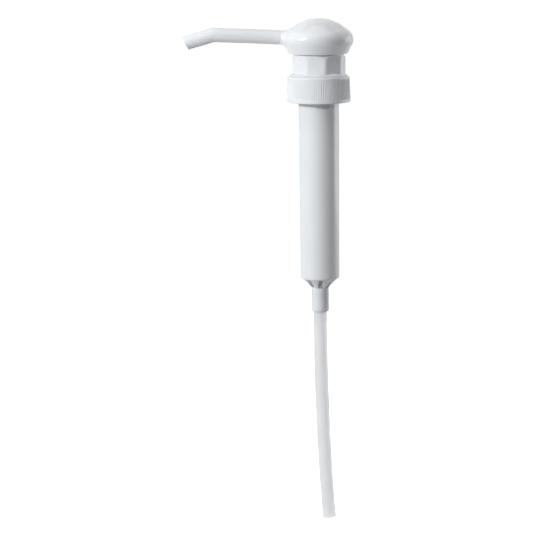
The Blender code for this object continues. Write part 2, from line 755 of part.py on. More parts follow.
def make_closure(material):
    """The ribbed screw cap, free to turn between the cylinder's flange and the collar."""
    columns = 2 * CAP_RIBS
    slope = (CAP_FOOT_R - CAP_TOP_R) / CAP_HEIGHT

    def skirt_r(height):
        return CAP_TOP_R + slope * (CAP_TOP_Z - height)

    rib_top = CAP_TOP_Z - CAP_SHOULDER - CAP_RIB_TOP_MARGIN
    rib_foot = CAP_FOOT_Z + CAP_LIP
    shoulder_r = CAP_TOP_R - CAP_SHOULDER
    outline = [(0, CAP_TOP_Z)]
    outline += arc((shoulder_r, CAP_TOP_Z - CAP_SHOULDER), CAP_SHOULDER, 90, 0, 1)
    outline += [
        (skirt_r(rib_top), rib_top),
        (skirt_r(rib_foot), rib_foot),
        (CAP_FOOT_R, CAP_FOOT_Z + CAP_LEAD_IN),
        (CAP_FOOT_R - CAP_LEAD_IN, CAP_FOOT_Z),
        (0, CAP_FOOT_Z),
    ]
    form = turned_form(outline, columns)
    for corner in form.verts:
        if rib_foot - GAP < corner.co.z < rib_top + GAP:
            column = round(math.atan2(corner.co.y, corner.co.x) / math.tau * columns)
            if column % 2:
                corner.co.xy *= 1 - CAP_RIB_DEPTH / CAP_TOP_R
    cap = placed("closure_cap", form, material)
    hollow = [
        (0, CAP_FOOT_Z - CUT),
        (CAP_ROOT_R + CAP_LEAD_IN + CUT, CAP_FOOT_Z - CUT),
        (CAP_ROOT_R, CAP_FOOT_Z + CAP_LEAD_IN),
        (CAP_ROOT_R, CAP_INSIDE_Z),
        (CAP_HOLE_R, CAP_INSIDE_Z),
        (CAP_HOLE_R, CAP_TOP_Z + CUT),
        (0, CAP_TOP_Z + CUT),
    ]
    combine(cap, turned("cap_hollow", hollow), "DIFFERENCE")
    thread = thread_ridge(
        "cap_thread", CAP_ROOT_R, CAP_CREST_R, CAP_FOOT_Z + CAP_PITCH / 2, 0, CAP_PITCH
    )
    combine(cap, thread, "UNION")
    return cap


def make_gasket(material):
    """The flat ring that seals on the jug's rim."""
    outline = [
        (GASKET_BORE_R, 0),
        (NECK_SEAL_R, 0),
        (NECK_SEAL_R, GASKET_T),
        (GASKET_BORE_R, GASKET_T),
    ]
    return turned("neck_gasket", outline, material)


def make_webs():
    """The webs between the cylinder's floor and the socket: a cone cut by parallel slots."""
    root_r = SOCKET_R - SINK
    sunk_z = -CYLINDER_DEPTH + SINK
    tip_z = -CYLINDER_DEPTH - (WEB_REACH - SOCKET_R)
    outline = [
        (root_r, sunk_z),
        (WEB_REACH, sunk_z),
        (WEB_REACH, -CYLINDER_DEPTH),
        (root_r, tip_z - SINK),
    ]
    webs = turned("cylinder_webs", outline)
    foot_z = tip_z - SINK - CUT
    size = (WEB_REACH + CUT, WEB_SLOT_W, -CYLINDER_DEPTH - foot_z)
    middle = (size[0] / 2, 0, (foot_z - CYLINDER_DEPTH) / 2)
    for web in range(WEBS):
        slot = bmesh.new()
        bmesh.ops.create_cube(slot, size=1)
        bmesh.ops.scale(slot, vec=size, verts=slot.verts)
        bmesh.ops.translate(slot, vec=middle, verts=slot.verts)
        turn = Matrix.Rotation(math.radians(WEB_TURN) + math.tau * (web + 0.5) / WEBS, 4, "Z")
        bmesh.ops.transform(slot, matrix=turn, verts=slot.verts)
        combine(webs, placed(f"web_slot_{web}", slot), "DIFFERENCE")
    return webs


def make_cylinder(material):
    """The housing: threaded neck, flange, bore, floor with the inlet seat, and tube socket."""
    foot_centre = (CYLINDER_FOOT_R - FOOT_ROUND, -CYLINDER_DEPTH + FOOT_ROUND)
    outline = [
        (BORE_R, NECK_TOP_Z),
        (COLLAR_NECK_R, NECK_TOP_Z),
        (COLLAR_NECK_R, FLANGE_Z + FLANGE_T),
        (NECK_SEAL_R, FLANGE_Z + FLANGE_T),
        (NECK_SEAL_R, FLANGE_Z),
        (CYLINDER_R, FLANGE_Z),
    ]
    outline += arc(foot_centre, FOOT_ROUND, 0, -90, ROUND_STEPS)
    outline += [
        (SOCKET_R, -CYLINDER_DEPTH),
        (SOCKET_R, SOCKET_Z + SOCKET_CHAMFER),
        (TUBE_SOCKET_R + GAP, SOCKET_Z),
        (TUBE_SOCKET_R, SOCKET_Z),
        (TUBE_SOCKET_R, SOCKET_TOP_Z),
        (INLET_R, SOCKET_TOP_Z),
        (INLET_R, INLET_SEAT_Z),
        (INLET_SEAT_R, FLOOR_Z),
        (BORE_R, FLOOR_Z),
    ]
    cylinder = turned("cylinder", outline, material)
    combine(cylinder, make_webs(), "UNION")
    thread = thread_ridge(
        "cylinder_thread", COLLAR_NECK_R, COLLAR_CREST_R, COLLAR_Z, NECK_TOP_Z, COLLAR_PITCH
    )
    combine(cylinder, thread, "UNION")
    vent = bmesh.new()
    bmesh.ops.create_cone(
        vent,
        cap_ends=True,
        segments=VENT_FACETS,
        radius1=VENT_R,
        radius2=VENT_R,
        depth=CYLINDER_WALL + 2 * CUT,
        matrix=Matrix.Translation(((BORE_R + CYLINDER_R) / 2, 0, -VENT_DEPTH))
        @ Matrix.Rotation(math.radians(90), 4, "Y"),
    )
    combine(cylinder, placed("vent", vent), "DIFFERENCE")
    return cylinder


def make_piston(material):
    """The piston: a hub round the stem's foot, a groove for the cup, and the ball's seat."""
    outline = [
        (STEM_SOCKET_R, PISTON_TOP_Z),
        (PISTON_R, PISTON_TOP_Z),
        (PISTON_R, PISTON_TOP_Z - PISTON_HEAD_T),
        (PISTON_GROOVE_R, PISTON_TOP_Z - PISTON_HEAD_T),
        (PISTON_GROOVE_R, PISTON_FOOT_Z + PISTON_FOOT_T),
        (PISTON_FOOT_R, PISTON_FOOT_Z + PISTON_FOOT_T),
        (PISTON_FOOT_R, PISTON_FOOT_Z),
        (DISCHARGE_SEAT_R, PISTON_FOOT_Z),
        (DISCHARGE_SEAT_R, DISCHARGE_SEAT_Z),
        (STEM_BORE_R, PISTON_WEB_Z),
        (STEM_SOCKET_R, PISTON_WEB_Z),
    ]
    return turned("piston_body", outline, material)


def make_cup(material):
    """The piston's soft cup, open downwards so that pressure spreads its lips."""
    top_z = PISTON_TOP_Z - PISTON_HEAD_T - GAP
    foot_z = PISTON_FOOT_Z + PISTON_FOOT_T + GAP
    lip_r = BORE_R - SEAL_GAP
    root_r = PISTON_GROOVE_R + GAP
    valley_z = (top_z + foot_z) / 2
    outline = [
        (root_r, top_z),
        (lip_r - 2 * CUP_LIP_T, top_z),
        (lip_r, foot_z + CUP_LIP_T),
        (lip_r - CUP_LIP_T / 2, foot_z),
        (lip_r - CUP_LIP_T, foot_z),
        (lip_r - 2 * CUP_LIP_T, valley_z),
        (root_r + CUP_LIP_T, valley_z),
        (root_r + CUP_LIP_T, foot_z),
        (root_r, foot_z),
    ]
    return turned("piston_cup_seal", outline, material)


def seated_height(seat_r, seat_z, radius):
    """Height of a ball's centre over a 45 degree seat whose narrow end is given."""
    touch_r = radius * DIAGONAL
    touch_z = seat_z + touch_r - seat_r
    return touch_z + radius * DIAGONAL + GAP / DIAGONAL


def discharge_ball_z():
    """Centre of the ball resting on the piston's seat."""
    return seated_height(DISCHARGE_SEAT_R, DISCHARGE_SEAT_Z, DISCHARGE_BALL_R)


def inlet_ball_z():
    """Centre of the ball resting on the cylinder's seat."""
    return seated_height(INLET_R, INLET_SEAT_Z, INLET_BALL_R)


def make_ball_stop(material):
    """The ring pressed in the stem's bore, whose crossbar holds the discharge ball down."""
    foot_z = discharge_ball_z() + DISCHARGE_BALL_R + BALL_LIFT + GAP
    top_z = foot_z + BALL_STOP_T
    outer_r = STEM_BORE_R - GAP
    inner_r = outer_r - BALL_STOP_WALL
    outline = [(outer_r, top_z), (outer_r, foot_z), (inner_r, foot_z), (inner_r, top_z)]
    stop = turned("ball_stop", outline, material, FINE_FACETS)
    bar = bmesh.new()
    bmesh.ops.create_cube(bar, size=1)
    size = (BALL_STOP_BAR, 2 * inner_r + BALL_STOP_WALL, BALL_STOP_T)
    bmesh.ops.scale(bar, vec=size, verts=bar.verts)
    bmesh.ops.translate(bar, vec=(0, 0, (foot_z + top_z) / 2), verts=bar.verts)
    combine(stop, placed("stop_bar", bar), "UNION")
    return stop


def make_spring_seat(material):
    """The slip ring between the spring and the turning piston."""
    top_z = SPRING_SEAT_Z + SPRING_SEAT_T
    outline = [
        (SPRING_SEAT_R, top_z),
        (SPRING_SEAT_R, SPRING_SEAT_Z),
        (SPRING_SEAT_BORE_R, SPRING_SEAT_Z),
        (SPRING_SEAT_BORE_R, top_z),
    ]
    return turned("spring_seat", outline, material, FINE_FACETS)


def make_spring(material):
    """The return spring: a closed turn at each end and open turns between them."""
    bottom_z = CAGE_Z + CAGE_RING_T + GAP + SPRING_WIRE_R
    top_z = SPRING_SEAT_Z - GAP - SPRING_WIRE_R
    closed_rise = 2 * SPRING_WIRE_R + GAP
    steps = SPRING_TURNS * SPRING_FACETS
    open_rise = (top_z - bottom_z - 2 * closed_rise) / (SPRING_TURNS - 2)
    rings = []
    for step in range(steps + 1):
        turn = step / SPRING_FACETS
        height = bottom_z + closed_rise * min(turn, 1)
        height += open_rise * min(max(turn - 1, 0), SPRING_TURNS - 2)
        height += closed_rise * max(turn - (SPRING_TURNS - 1), 0)
        angle = math.tau * turn
        ring = []
        for side in range(SPRING_SIDES):
            lean = math.tau * side / SPRING_SIDES
            radius = SPRING_R + SPRING_WIRE_R * math.cos(lean)
            ring.append(
                (
                    radius * math.cos(angle),
                    radius * math.sin(angle),
                    height + SPRING_WIRE_R * math.sin(lean),
                )
            )
        rings.append(ring)
    form = bmesh.new()
    bridged(form, rings, closed_ends=True)
    return placed("return_spring", form, material)


def make_cage(material):
    """The cage over the inlet ball: a ring on the floor, four posts and a crown."""
    crown_z = inlet_ball_z() + INLET_BALL_R + BALL_LIFT + GAP
    ring_z = CAGE_Z + CAGE_RING_T
    outline = [
        (CAGE_BORE_R, CAGE_Z),
        (BORE_R - GAP, CAGE_Z),
        (BORE_R - GAP, ring_z),
        (CAGE_R, ring_z),
        (CAGE_R, crown_z + CAGE_CROWN_T),
        (CAGE_CROWN_BORE_R, crown_z + CAGE_CROWN_T),
        (CAGE_CROWN_BORE_R, crown_z),
        (CAGE_BORE_R, crown_z),
    ]
    cage = turned("inlet_valve_cage", outline, material, FINE_FACETS)
    for turn in (45, 135):
        window = bmesh.new()
        bmesh.ops.create_cube(window, size=1)
        size = (3 * CAGE_R, CAGE_WINDOW_W, crown_z - ring_z)
        bmesh.ops.scale(window, vec=size, verts=window.verts)
        place = Matrix.Translation((0, 0, (crown_z + ring_z) / 2))
        place @= Matrix.Rotation(math.radians(turn), 4, "Z")
        bmesh.ops.transform(window, matrix=place, verts=window.verts)
        combine(cage, placed(f"cage_window_{turn}", window), "DIFFERENCE")
    return cage


def make_dip_tube(material):
    """The suction tube: straight in its socket, then on one gentle bow towards +X."""
    down = Vector((0, 0, -1))
    stations = [
        (Vector((0, 0, TUBE_TOP_Z)), down, down),
        (Vector((0, 0, SOCKET_Z)), down, down),
    ]
    sweep = (TUBE_END + SOCKET_Z) / TUBE_BOW_R
    for step in range(1, TUBE_STEPS + 1):
        angle = sweep * step / TUBE_STEPS
        centre = Vector(
            (TUBE_BOW_R * (1 - math.cos(angle)), 0, SOCKET_Z - TUBE_BOW_R * math.sin(angle))
        )
        direction = Vector((math.sin(angle), 0, -math.cos(angle)))
        stations.append((centre, direction, direction))
    return pipe("dip_tube", stations, TUBE_R, TUBE_BORE_R, TUBE_SIDES, material)


def axis_empty(name, height, parent=None):
    """An empty on the pump's axis, for the pieces of one moving body."""
    empty = bpy.data.objects.new(name, None)
    bpy.context.scene.collection.objects.link(empty)
    empty.location = (0, 0, height * MM)
    if parent:
        empty.parent = parent
        empty.location.z -= parent.matrix_world.translation.z
    bpy.context.view_layer.update()
    return empty


def hang(pieces, empty):
    """Parents pieces to an empty without moving them."""
    for piece in pieces:
        piece.parent = empty
        piece.matrix_parent_inverse = empty.matrix_world.inverted()


def main():
    """Clears the scene and makes every piece."""
    for old in list(bpy.data.objects):
        bpy.data.objects.remove(old, do_unlink=True)
    kinds = finishes()

    make_cylinder(kinds["gloss_white"])
    make_collar(kinds["gloss_white"])
    make_dip_tube(kinds["tube_natural"])
    make_gland(kinds["inner_white"])
    make_wiper(kinds["seal_grey"])
    make_o_ring(kinds["seal_grey"])
    make_gasket(kinds["gasket_foam"])
    make_cage(kinds["inner_white"])
    make_spring(kinds["spring_steel"])
    cap = make_closure(kinds["gloss_white"])
    inlet_ball = ball("inlet_ball", INLET_BALL_R, inlet_ball_z(), kinds["ball_white"])
    seat = make_spring_seat(kinds["inner_white"])
    discharge_ball = ball(
        "discharge_ball", DISCHARGE_BALL_R, discharge_ball_z(), kinds["ball_white"]
    )
    plunger = [
        make_knob(kinds["gloss_white"]),
        make_head_core(kinds["inner_white"]),
        make_spout(kinds["gloss_white"]),
        make_stem(kinds["inner_white"]),
        make_piston(kinds["inner_white"]),
        make_cup(kinds["seal_grey"]),
        make_ball_stop(kinds["inner_white"]),
    ]

    hang([cap], axis_empty("closure_axis", CAP_TOP_Z))
    hang([inlet_ball], axis_empty("inlet_ball_axis", inlet_ball_z()))
    slide = axis_empty("plunger_slide_axis", SPRING_SEAT_Z)
    hang([seat], slide)
    turn = axis_empty("plunger_turn_axis", RIM_Z, slide)
    hang(plunger, turn)
    hang([discharge_ball], axis_empty("discharge_ball_axis", discharge_ball_z(), turn))


if __name__ == "__main__":
    main()
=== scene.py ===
"""Looks of a screw-on condiment jug pump, laid over its packed mechanical model.

Shapes are worked out in millimetres and turned into metres where a mesh is made. The frame is
+Z up on the pump's axis, with zero at the jug's rim, and the spout points along -X.
"""

import math

import bpy
import numpy as np
from bpy.props import FloatProperty, FloatVectorProperty, IntProperty, PointerProperty
from mathutils import Euler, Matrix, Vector


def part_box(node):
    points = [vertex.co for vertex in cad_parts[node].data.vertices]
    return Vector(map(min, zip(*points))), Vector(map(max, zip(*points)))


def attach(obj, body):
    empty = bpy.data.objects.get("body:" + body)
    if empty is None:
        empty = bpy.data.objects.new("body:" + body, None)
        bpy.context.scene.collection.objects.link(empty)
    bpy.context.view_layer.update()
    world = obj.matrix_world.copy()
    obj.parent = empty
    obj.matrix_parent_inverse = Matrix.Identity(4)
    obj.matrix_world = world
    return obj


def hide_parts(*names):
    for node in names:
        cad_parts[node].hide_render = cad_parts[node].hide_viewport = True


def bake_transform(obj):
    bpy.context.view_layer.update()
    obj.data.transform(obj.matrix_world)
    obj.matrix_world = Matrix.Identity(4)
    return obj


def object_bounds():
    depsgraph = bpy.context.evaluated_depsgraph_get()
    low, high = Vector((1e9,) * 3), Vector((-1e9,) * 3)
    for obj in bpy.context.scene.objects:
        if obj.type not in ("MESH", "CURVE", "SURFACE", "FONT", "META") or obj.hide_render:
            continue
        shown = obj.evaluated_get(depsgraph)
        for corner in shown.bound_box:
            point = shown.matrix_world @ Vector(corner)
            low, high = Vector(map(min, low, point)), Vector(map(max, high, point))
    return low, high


bl_info = {
    "name": "Condiment Jug Pump",
    "version": (1, 0, 0),
    "blender": (4, 5, 0),
    "location": "View3D > Sidebar > Jug Pump",
    "description": "Finishes a condiment jug pump: moulded shapes, plastics and studio",
    "category": "Object",
}

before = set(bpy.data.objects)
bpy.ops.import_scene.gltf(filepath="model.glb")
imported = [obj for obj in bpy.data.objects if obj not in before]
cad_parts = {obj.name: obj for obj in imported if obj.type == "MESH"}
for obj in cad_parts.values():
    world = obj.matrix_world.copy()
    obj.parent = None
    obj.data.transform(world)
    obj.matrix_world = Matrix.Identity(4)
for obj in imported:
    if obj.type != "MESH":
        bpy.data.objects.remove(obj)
CAD_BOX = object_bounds()

MM = 0.001
TAU = math.tau
NEAR = 0.02  # millimetres within which a profile counts as lying on a wall
GAP = 0.3  # between pieces that press, slide or screw together
THREAD_ROOT, THREAD_CREST = 1.2, 0.6  # widths of a thread's ridge
THREAD_MARGIN = 0.4
THREAD_FADE = 0.14  # turns over which a ridge fades out
THREAD_PITCH = 3.0
JUG_PITCH = 4.23
SOCKET_DEPTH = 18.1  # how far the dip tube goes up its socket
INLET_R = 3.2
FLOOR_T = 2.3  # cylinder's floor
FLANGE_FOOT, FLANGE_TOP = 1.5, 3.2  # levels of the cylinder's flange
NECK_RISE = 5.7  # threaded length of the cylinder's neck
STEM_R, STEM_BORE = 6.25, 4.4
FOOT_T = 0.7  # collar's flared foot
CAP_WALL, CAP_TOP_T, CAP_TAPER = 2.0, 1.5, 0.5
SLOT_DEPTH = 1.5  # how far the slots between the webs go into the socket
COLLAR_LOCK_R, COLLAR_BORE_R = 11.6, 15.2
JUG_THREAD = 1.1  # depth of the thread in the cap
NECK_THREAD = 0.7  # depth of the thread on the cylinder's neck
LOCK_R = 9.3  # core's wall under its lock thread


def extent(node):
    """Lowest and highest corner of a node of the mechanical model, in millimetres."""
    low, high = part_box(node)
    return np.array(low) / MM, np.array(high) / MM


# ---------------------------------------------------------------- sizes and colours


def length(name, description, millimetres, low=0.0):
    """A length setting, its default given in millimetres."""
    return FloatProperty(
        name=name,
        description=description,
        default=millimetres * MM,
        min=low * MM,
        precision=4,
        unit="LENGTH",
        subtype="DISTANCE",
    )


def turn(name, description, degrees):
    """An angle setting, its default given in degrees."""
    return FloatProperty(
        name=name, description=description, default=math.radians(degrees), subtype="ANGLE"
    )


def colour(name, description, red, green, blue):
    """A colour setting."""
    return FloatVectorProperty(
        name=name,
        description=description,
        default=(red, green, blue),
        size=3,
        min=0.0,
        max=1.0,
        subtype="COLOR",
    )


class KnobSizes(bpy.types.PropertyGroup):
    """Sizes of the press knob and its spout."""

    crown: length("Crown radius", "Radius of the dome's crown", 27.5)
    slope: turn("Crown slope", "Slope of the side under the crown", 35.3)
    belly: length("Belly radius", "Radius of the rounding at the widest place", 7.8)
    under: turn("Under slope", "Lean of the lower side", 27.0)
    wall: length("Wall", "Thickness of the knob's wall", 2.2)
    rim: length("Rim rounding", "Radius of the rounding at the rim", 1.5)
    spout: length("Spout radius", "Outer radius of the spout", 4.75)
    bore: length("Spout bore", "Inner radius of the spout", 3.5)
    rise: turn("Spout rise", "Rise of the spout's level run", 2.7)
    axis: length("Spout height", "Height of the spout's axis over the knob's rim", 9.94)
    bend: length("Bend reach", "How far out the spout bends", 68.3)
    bend_radius: length("Bend radius", "Radius of the spout's bend", 9.0)
    tip: length("Tip reach", "How far the tip lies past the bend", 18.8)
    drop: turn("Tip drop", "Slope of the spout's tip", 15.8)
    mouth: turn("Mouth drop", "How far the mouth faces below level", 28.7)
    fillet: length("Spout fillet", "Radius of the fillet between spout and knob", 3.0)


class HousingSizes(bpy.types.PropertyGroup):
    """Sizes of the collar, the cap, the cylinder and the tube."""

    sides: IntProperty(name="Collar sides", description="Flats round the collar", default=9)
    collar: length("Collar radius", "Radius out to the collar's corners", 18.05)
    collar_turn: turn("Collar turn", "Angle of the collar's first corner", 3.2)
    corner: length("Collar corner", "Radius of the rounding of a corner", 4.0)
    top_round: length("Collar top", "Radius of the rounding of the collar's top", 3.4)
    flare: length("Collar flare", "Radius of the flare at the collar's foot", 2.2)
    ribs: IntProperty(name="Cap ribs", description="Grip ribs round the cap", default=112)
    rib: length("Rib depth", "Depth of the grooves between the ribs", 0.35)
    bore: length("Cylinder bore", "Inner radius of the cylinder", 12.0)
    barrel: length("Barrel radius", "Outer radius of the cylinder at its flange", 13.45)
    barrel_foot: length("Barrel foot", "Outer radius of the cylinder at its foot", 13.2)
    neck: length("Neck radius", "Outer radius of the cylinder's threaded neck", 14.2)
    floor: length("Floor depth", "Depth of the cylinder's underside", 129.5)
    webs: IntProperty(name="Webs", description="Webs under the cylinder", default=8)
    web_turn: turn("Web turn", "Angle of the first web", 25.0)
    slot: length("Web slot", "Width of the slot between two webs", 3.1)
    web_reach: length("Web reach", "How far out a web starts", 11.8)
    socket: length("Socket radius", "Outer radius of the tube's socket", 5.95)
    tube: length("Tube radius", "Outer radius of the dip tube", 4.6)
    tube_bore: length("Tube bore", "Inner radius of the dip tube", 3.4)
    hang: length("Tube hang", "Length of the dip tube below its socket", 141.3)
    bow: length("Tube bow", "Radius of the dip tube's slight bow", 1960.0)


class PumpColours(bpy.types.PropertyGroup):
    """Colours of the plastics, rubbers and steel."""

    white: colour("White plastic", "Glossy outer mouldings", 0.83, 0.855, 0.885)
    inner: colour("Inner plastic", "Mouldings inside the pump", 0.83, 0.84, 0.85)
    tube: colour("Natural plastic", "Milky dip tube", 0.83, 0.84, 0.85)
    rubber: colour("Seal rubber", "Soft seals", 0.35, 0.36, 0.37)
    foam: colour("Gasket foam", "Gasket on the jug's rim", 0.78, 0.78, 0.76)
    ball: colour("Ball", "Valve balls", 0.9, 0.9, 0.9)
    steel: colour("Spring steel", "Return spring", 0.55, 0.55, 0.56)


class StudioSettings(bpy.types.PropertyGroup):
    """Camera, lights and floor."""

    lens: FloatProperty(
        name="Lens", description="Focal length on a 36 mm sensor", default=142.15, unit="CAMERA"
    )
    key: FloatProperty(name="Key lights", description="Strength of the left lights", default=1.0)
    back: FloatProperty(name="Other lights", description="Strength of the others", default=1.0)
    floor_glow: FloatProperty(name="Paper glow", description="Paper's own light", default=1.02)
    paper: colour("Paper", "Colour of the floor's paper", 0.95, 0.95, 0.95)


def settings():
    """The scene's settings."""
    scene = bpy.context.scene
    return scene.pump_knob, scene.pump_housing, scene.pump_colours, scene.pump_studio


# ---------------------------------------------------------------- surfaces


def mesh_piece(name, points, faces):
    """An object made of points in millimetres and arrays of faces of equally many corners.

    The enclosed volume is summed from the faces, and if it is negative every face is reversed,
    so that all of them point outwards.
    """
    points = np.asarray(points, float).reshape(-1, 3)
    triangles = [f[:, (0, k, k + 1)] for f in faces for k in range(1, f.shape[1] - 1)]
    triangles = np.concatenate(triangles)
    a, b, c = (points[triangles[:, k]] for k in range(3))
    if np.einsum("ij,ij->i", a, np.cross(b, c)).sum() < 0:
        faces = [f[:, ::-1] for f in faces]
    corners = np.concatenate([f.ravel() for f in faces]).astype(np.int32)
    counts = np.concatenate([np.full(len(f), f.shape[1]) for f in faces])
    starts = np.concatenate([[0], np.cumsum(counts)[:-1]]).astype(np.int32)
    mesh = bpy.data.meshes.new(name)
    mesh.vertices.add(len(points))
    mesh.vertices.foreach_set("co", (points * MM).astype(np.float32).ravel())
    mesh.loops.add(len(corners))
    mesh.loops.foreach_set("vertex_index", corners)
    mesh.polygons.add(len(counts))
    mesh.polygons.foreach_set("loop_start", starts)
    mesh.update(calc_edges=True)
    mesh.validate()
    mesh.shade_smooth()
    mesh.set_sharp_from_angle(angle=math.radians(38))
    piece = bpy.data.objects.new(name, mesh)
    bpy.context.scene.collection.objects.link(piece)
    return piece


def grid_faces(rows, columns, closed_rows, offset=0):
    """Four-cornered faces between the points of a grid whose columns close on themselves."""
    last = rows if closed_rows else rows - 1
    row, column = np.meshgrid(np.arange(last), np.arange(columns), indexing="ij")
    below, beside = (row + 1) % rows, (column + 1) % columns
    corners = [row * columns + column, row * columns + beside]
    corners += [below * columns + beside, below * columns + column]
    return np.stack(corners, -1).reshape(-1, 4) + offset


def skin(name, grid, closed_rows=True, poles=()):
    """A closed surface over a grid of points, rows along a profile and columns round it.

    Where closed_rows is false, the first or last row is closed by a fan to a pole point.
    """
    rows, columns = grid.shape[:2]
    points, faces = [grid.reshape(-1, 3)], [grid_faces(rows, columns, closed_rows)]
    beside = (np.arange(columns) + 1) % columns
    for number, (row, pole) in enumerate(poles):
        index = rows * columns + number
        base = (row % rows) * columns
        ring = (base + np.arange(columns), base + beside)
        ring = ring if row else ring[::-1]
        faces.append(np.stack([*ring, np.full(columns, index)], -1))
        points.append(np.array([pole], float))
    return mesh_piece(name, np.concatenate(points), faces)


def rounded(corners, steps=6):
    """A profile through (radius, height, rounding) corners.

    Each corner with a rounding is replaced by an arc of that radius that touches both of its
    sides, its points spaced evenly along the arc.
    """
    spots = np.array([c[:2] for c in corners], float)
    path = []
    for index, (spot, (_, _, radius)) in enumerate(zip(spots, corners)):
        if not radius:
            path.append(spot)
            continue
        before = spots[index - 1] - spot
        after = spots[(index + 1) % len(spots)] - spot
        reach = 0.49 * min(np.linalg.norm(before), np.linalg.norm(after))
        before, after = before / np.linalg.norm(before), after / np.linalg.norm(after)
        half = math.acos(np.clip(before @ after, -1, 1)) / 2
        radius = min(radius, reach * math.tan(half))
        cut = radius / math.tan(half)
        middle = before + after
        centre = spot + middle / np.linalg.norm(middle) * radius / math.sin(half)
        first, last = spot + before * cut - centre, spot + after * cut - centre
        sweep = math.pi - 2 * half
        share = np.linspace(0, 1, steps + 1)[:, None]
        arc = np.sin((1 - share) * sweep) * first + np.sin(share * sweep) * last
        path.extend(centre + arc / math.sin(sweep))
    return np.array(path)


def paced(path, pitch=6.0, margin=0.25, closed=True, fine=None):
    """The profile with more points on its straight runs: one a margin from each end, and others
    no more than a pitch apart, so that the shading of a rounding stays at the rounding.

    Where fine gives a (radius, pitch), runs at that radius have their points at that pitch.
    """
    starts, ends = (path, np.roll(path, -1, axis=0)) if closed else (path[:-1], path[1:])
    out = []
    for start, end in zip(starts, ends):
        run = np.linalg.norm(end - start)
        shares = [0.0]
        if run > 3 * margin:
            at_wall = fine and abs(start[0] - fine[0]) < NEAR and abs(end[0] - fine[0]) < NEAR
            step = fine[1] if at_wall else pitch
            inner = max(2, int(math.ceil((run - 2 * margin) / step)) + 1)
            shares += list(np.linspace(margin / run, 1 - margin / run, inner))
        out.extend(start + (end - start) * share for share in shares)
    if not closed:
        out.append(path[-1])
    return np.array(out)


def spun(radii, heights, columns):
    """Grid of points of a profile spun about the pump's axis.

    The radii may be one number a row, or a whole grid of rows and columns.
    """
    angle = np.arange(columns) * TAU / columns
    radii = np.asarray(radii, float)
    radii = radii if radii.ndim == 2 else np.repeat(radii[:, None], columns, 1)
    heights = np.repeat(np.asarray(heights, float)[:, None], columns, 1)
    return np.stack([radii * np.cos(angle), radii * np.sin(angle), heights], -1)


def turned(name, corners, columns=128, steps=6, pitch=6.0):
    """A ring-shaped piece: a closed profile of rounded corners spun about the axis."""
    path = paced(rounded(corners, steps), pitch)
    return skin(name, spun(path[:, 0], path[:, 1], columns))


def thread(angle, height, bottom, top, pitch):
    """Height of a thread's ridge from 0 to 1 at an angle and a height.

    A point's distance from the helix, measured along the axis, gives a trapezoid: 1 within half
    the crest's width, 0 beyond half the root's width, straight between them. The ridge fades to
    nothing over its first and last stretch of turn.
    """
    start = bottom + THREAD_MARGIN + THREAD_ROOT / 2
    total = (top - bottom - THREAD_ROOT - 2 * THREAD_MARGIN) / pitch
    turns = (height - start) / pitch - angle / TAU
    whole = np.round(turns)
    along = whole + angle / TAU
    offset = np.abs(turns - whole) * pitch
    rise = np.clip((THREAD_ROOT / 2 - offset) / ((THREAD_ROOT - THREAD_CREST) / 2), 0, 1)
    ends = np.clip(np.minimum(along, total - along) / THREAD_FADE, 0, 1)
    return rise * ends * ends * (3 - 2 * ends)


def swept(centres, tangents, radii, columns, facings=None):
    """Grid of points of round sections carried along a path in the XZ plane.

    Each section's plane stands square to the path, or square to its facing where one is given,
    when its points slide along the path's direction until they lie on that plane.
    """
    angle = np.arange(columns) * TAU / columns
    tangents = np.asarray(tangents, float)
    facings = tangents if facings is None else np.asarray(facings, float)
    up = np.stack([tangents[:, 2], np.zeros(len(tangents)), -tangents[:, 0]], -1)
    across = np.array([0.0, 1.0, 0.0])
    spokes = np.cos(angle)[None, :, None] * across + np.sin(angle)[None, :, None] * up[:, None]
    spokes = spokes * np.asarray(radii, float)[:, None, None]
    slide = -np.einsum("ijk,ik->ij", spokes, facings)
    slide /= np.einsum("ij,ij->i", tangents, facings)[:, None]
    return np.asarray(centres)[:, None] + spokes + slide[..., None] * tangents[:, None]


def soft_min(a, b, width):
    """The smaller of two values, its crease rounded over a width."""
    share = np.clip(0.5 + (b - a) / (2 * width), 0, 1)
    return b + (a - b) * share - width * share * (1 - share)


def soft_max(a, b, width):
    """The larger of two values, its crease rounded over a width."""
    return -soft_min(-a, -b, width)


# ---------------------------------------------------------------- materials


def shader(name, base, roughness, **sockets):
    """A material whose Principled shader has these numbers on its sockets."""
    material = bpy.data.materials.new(name)
    material.use_nodes = True
    principled = material.node_tree.nodes["Principled BSDF"]
    principled.inputs["Base Color"].default_value = (*base, 1)
    principled.inputs["Roughness"].default_value = roughness
    for socket, value in sockets.items():
        principled.inputs[socket.replace("_", " ")].default_value = value
    return material, principled


def node(material, kind, **values):
    """A shader node with some of its sockets or options set."""
    made = material.node_tree.nodes.new(kind)
    for key, value in values.items():
        if key in made.inputs:
            made.inputs[key].default_value = value
        else:
            setattr(made, key, value)
    return made


def link(material, source, output, target, socket):
    """Joins one node's output to another's socket."""
    material.node_tree.links.new(source.outputs[output], target.inputs[socket])


def noise_field(material, scale, detail=2.0, stretch=(1, 1, 1)):
    """Noise on the piece's own coordinates in metres, stretched along its axes."""
    place = node(material, "ShaderNodeTexCoord")
    mapping = node(material, "ShaderNodeMapping", Scale=stretch)
    noise = node(material, "ShaderNodeTexNoise", Scale=scale, Detail=detail)
    link(material, place, "Object", mapping, "Vector")
    link(material, mapping, "Vector", noise, "Vector")
    return noise


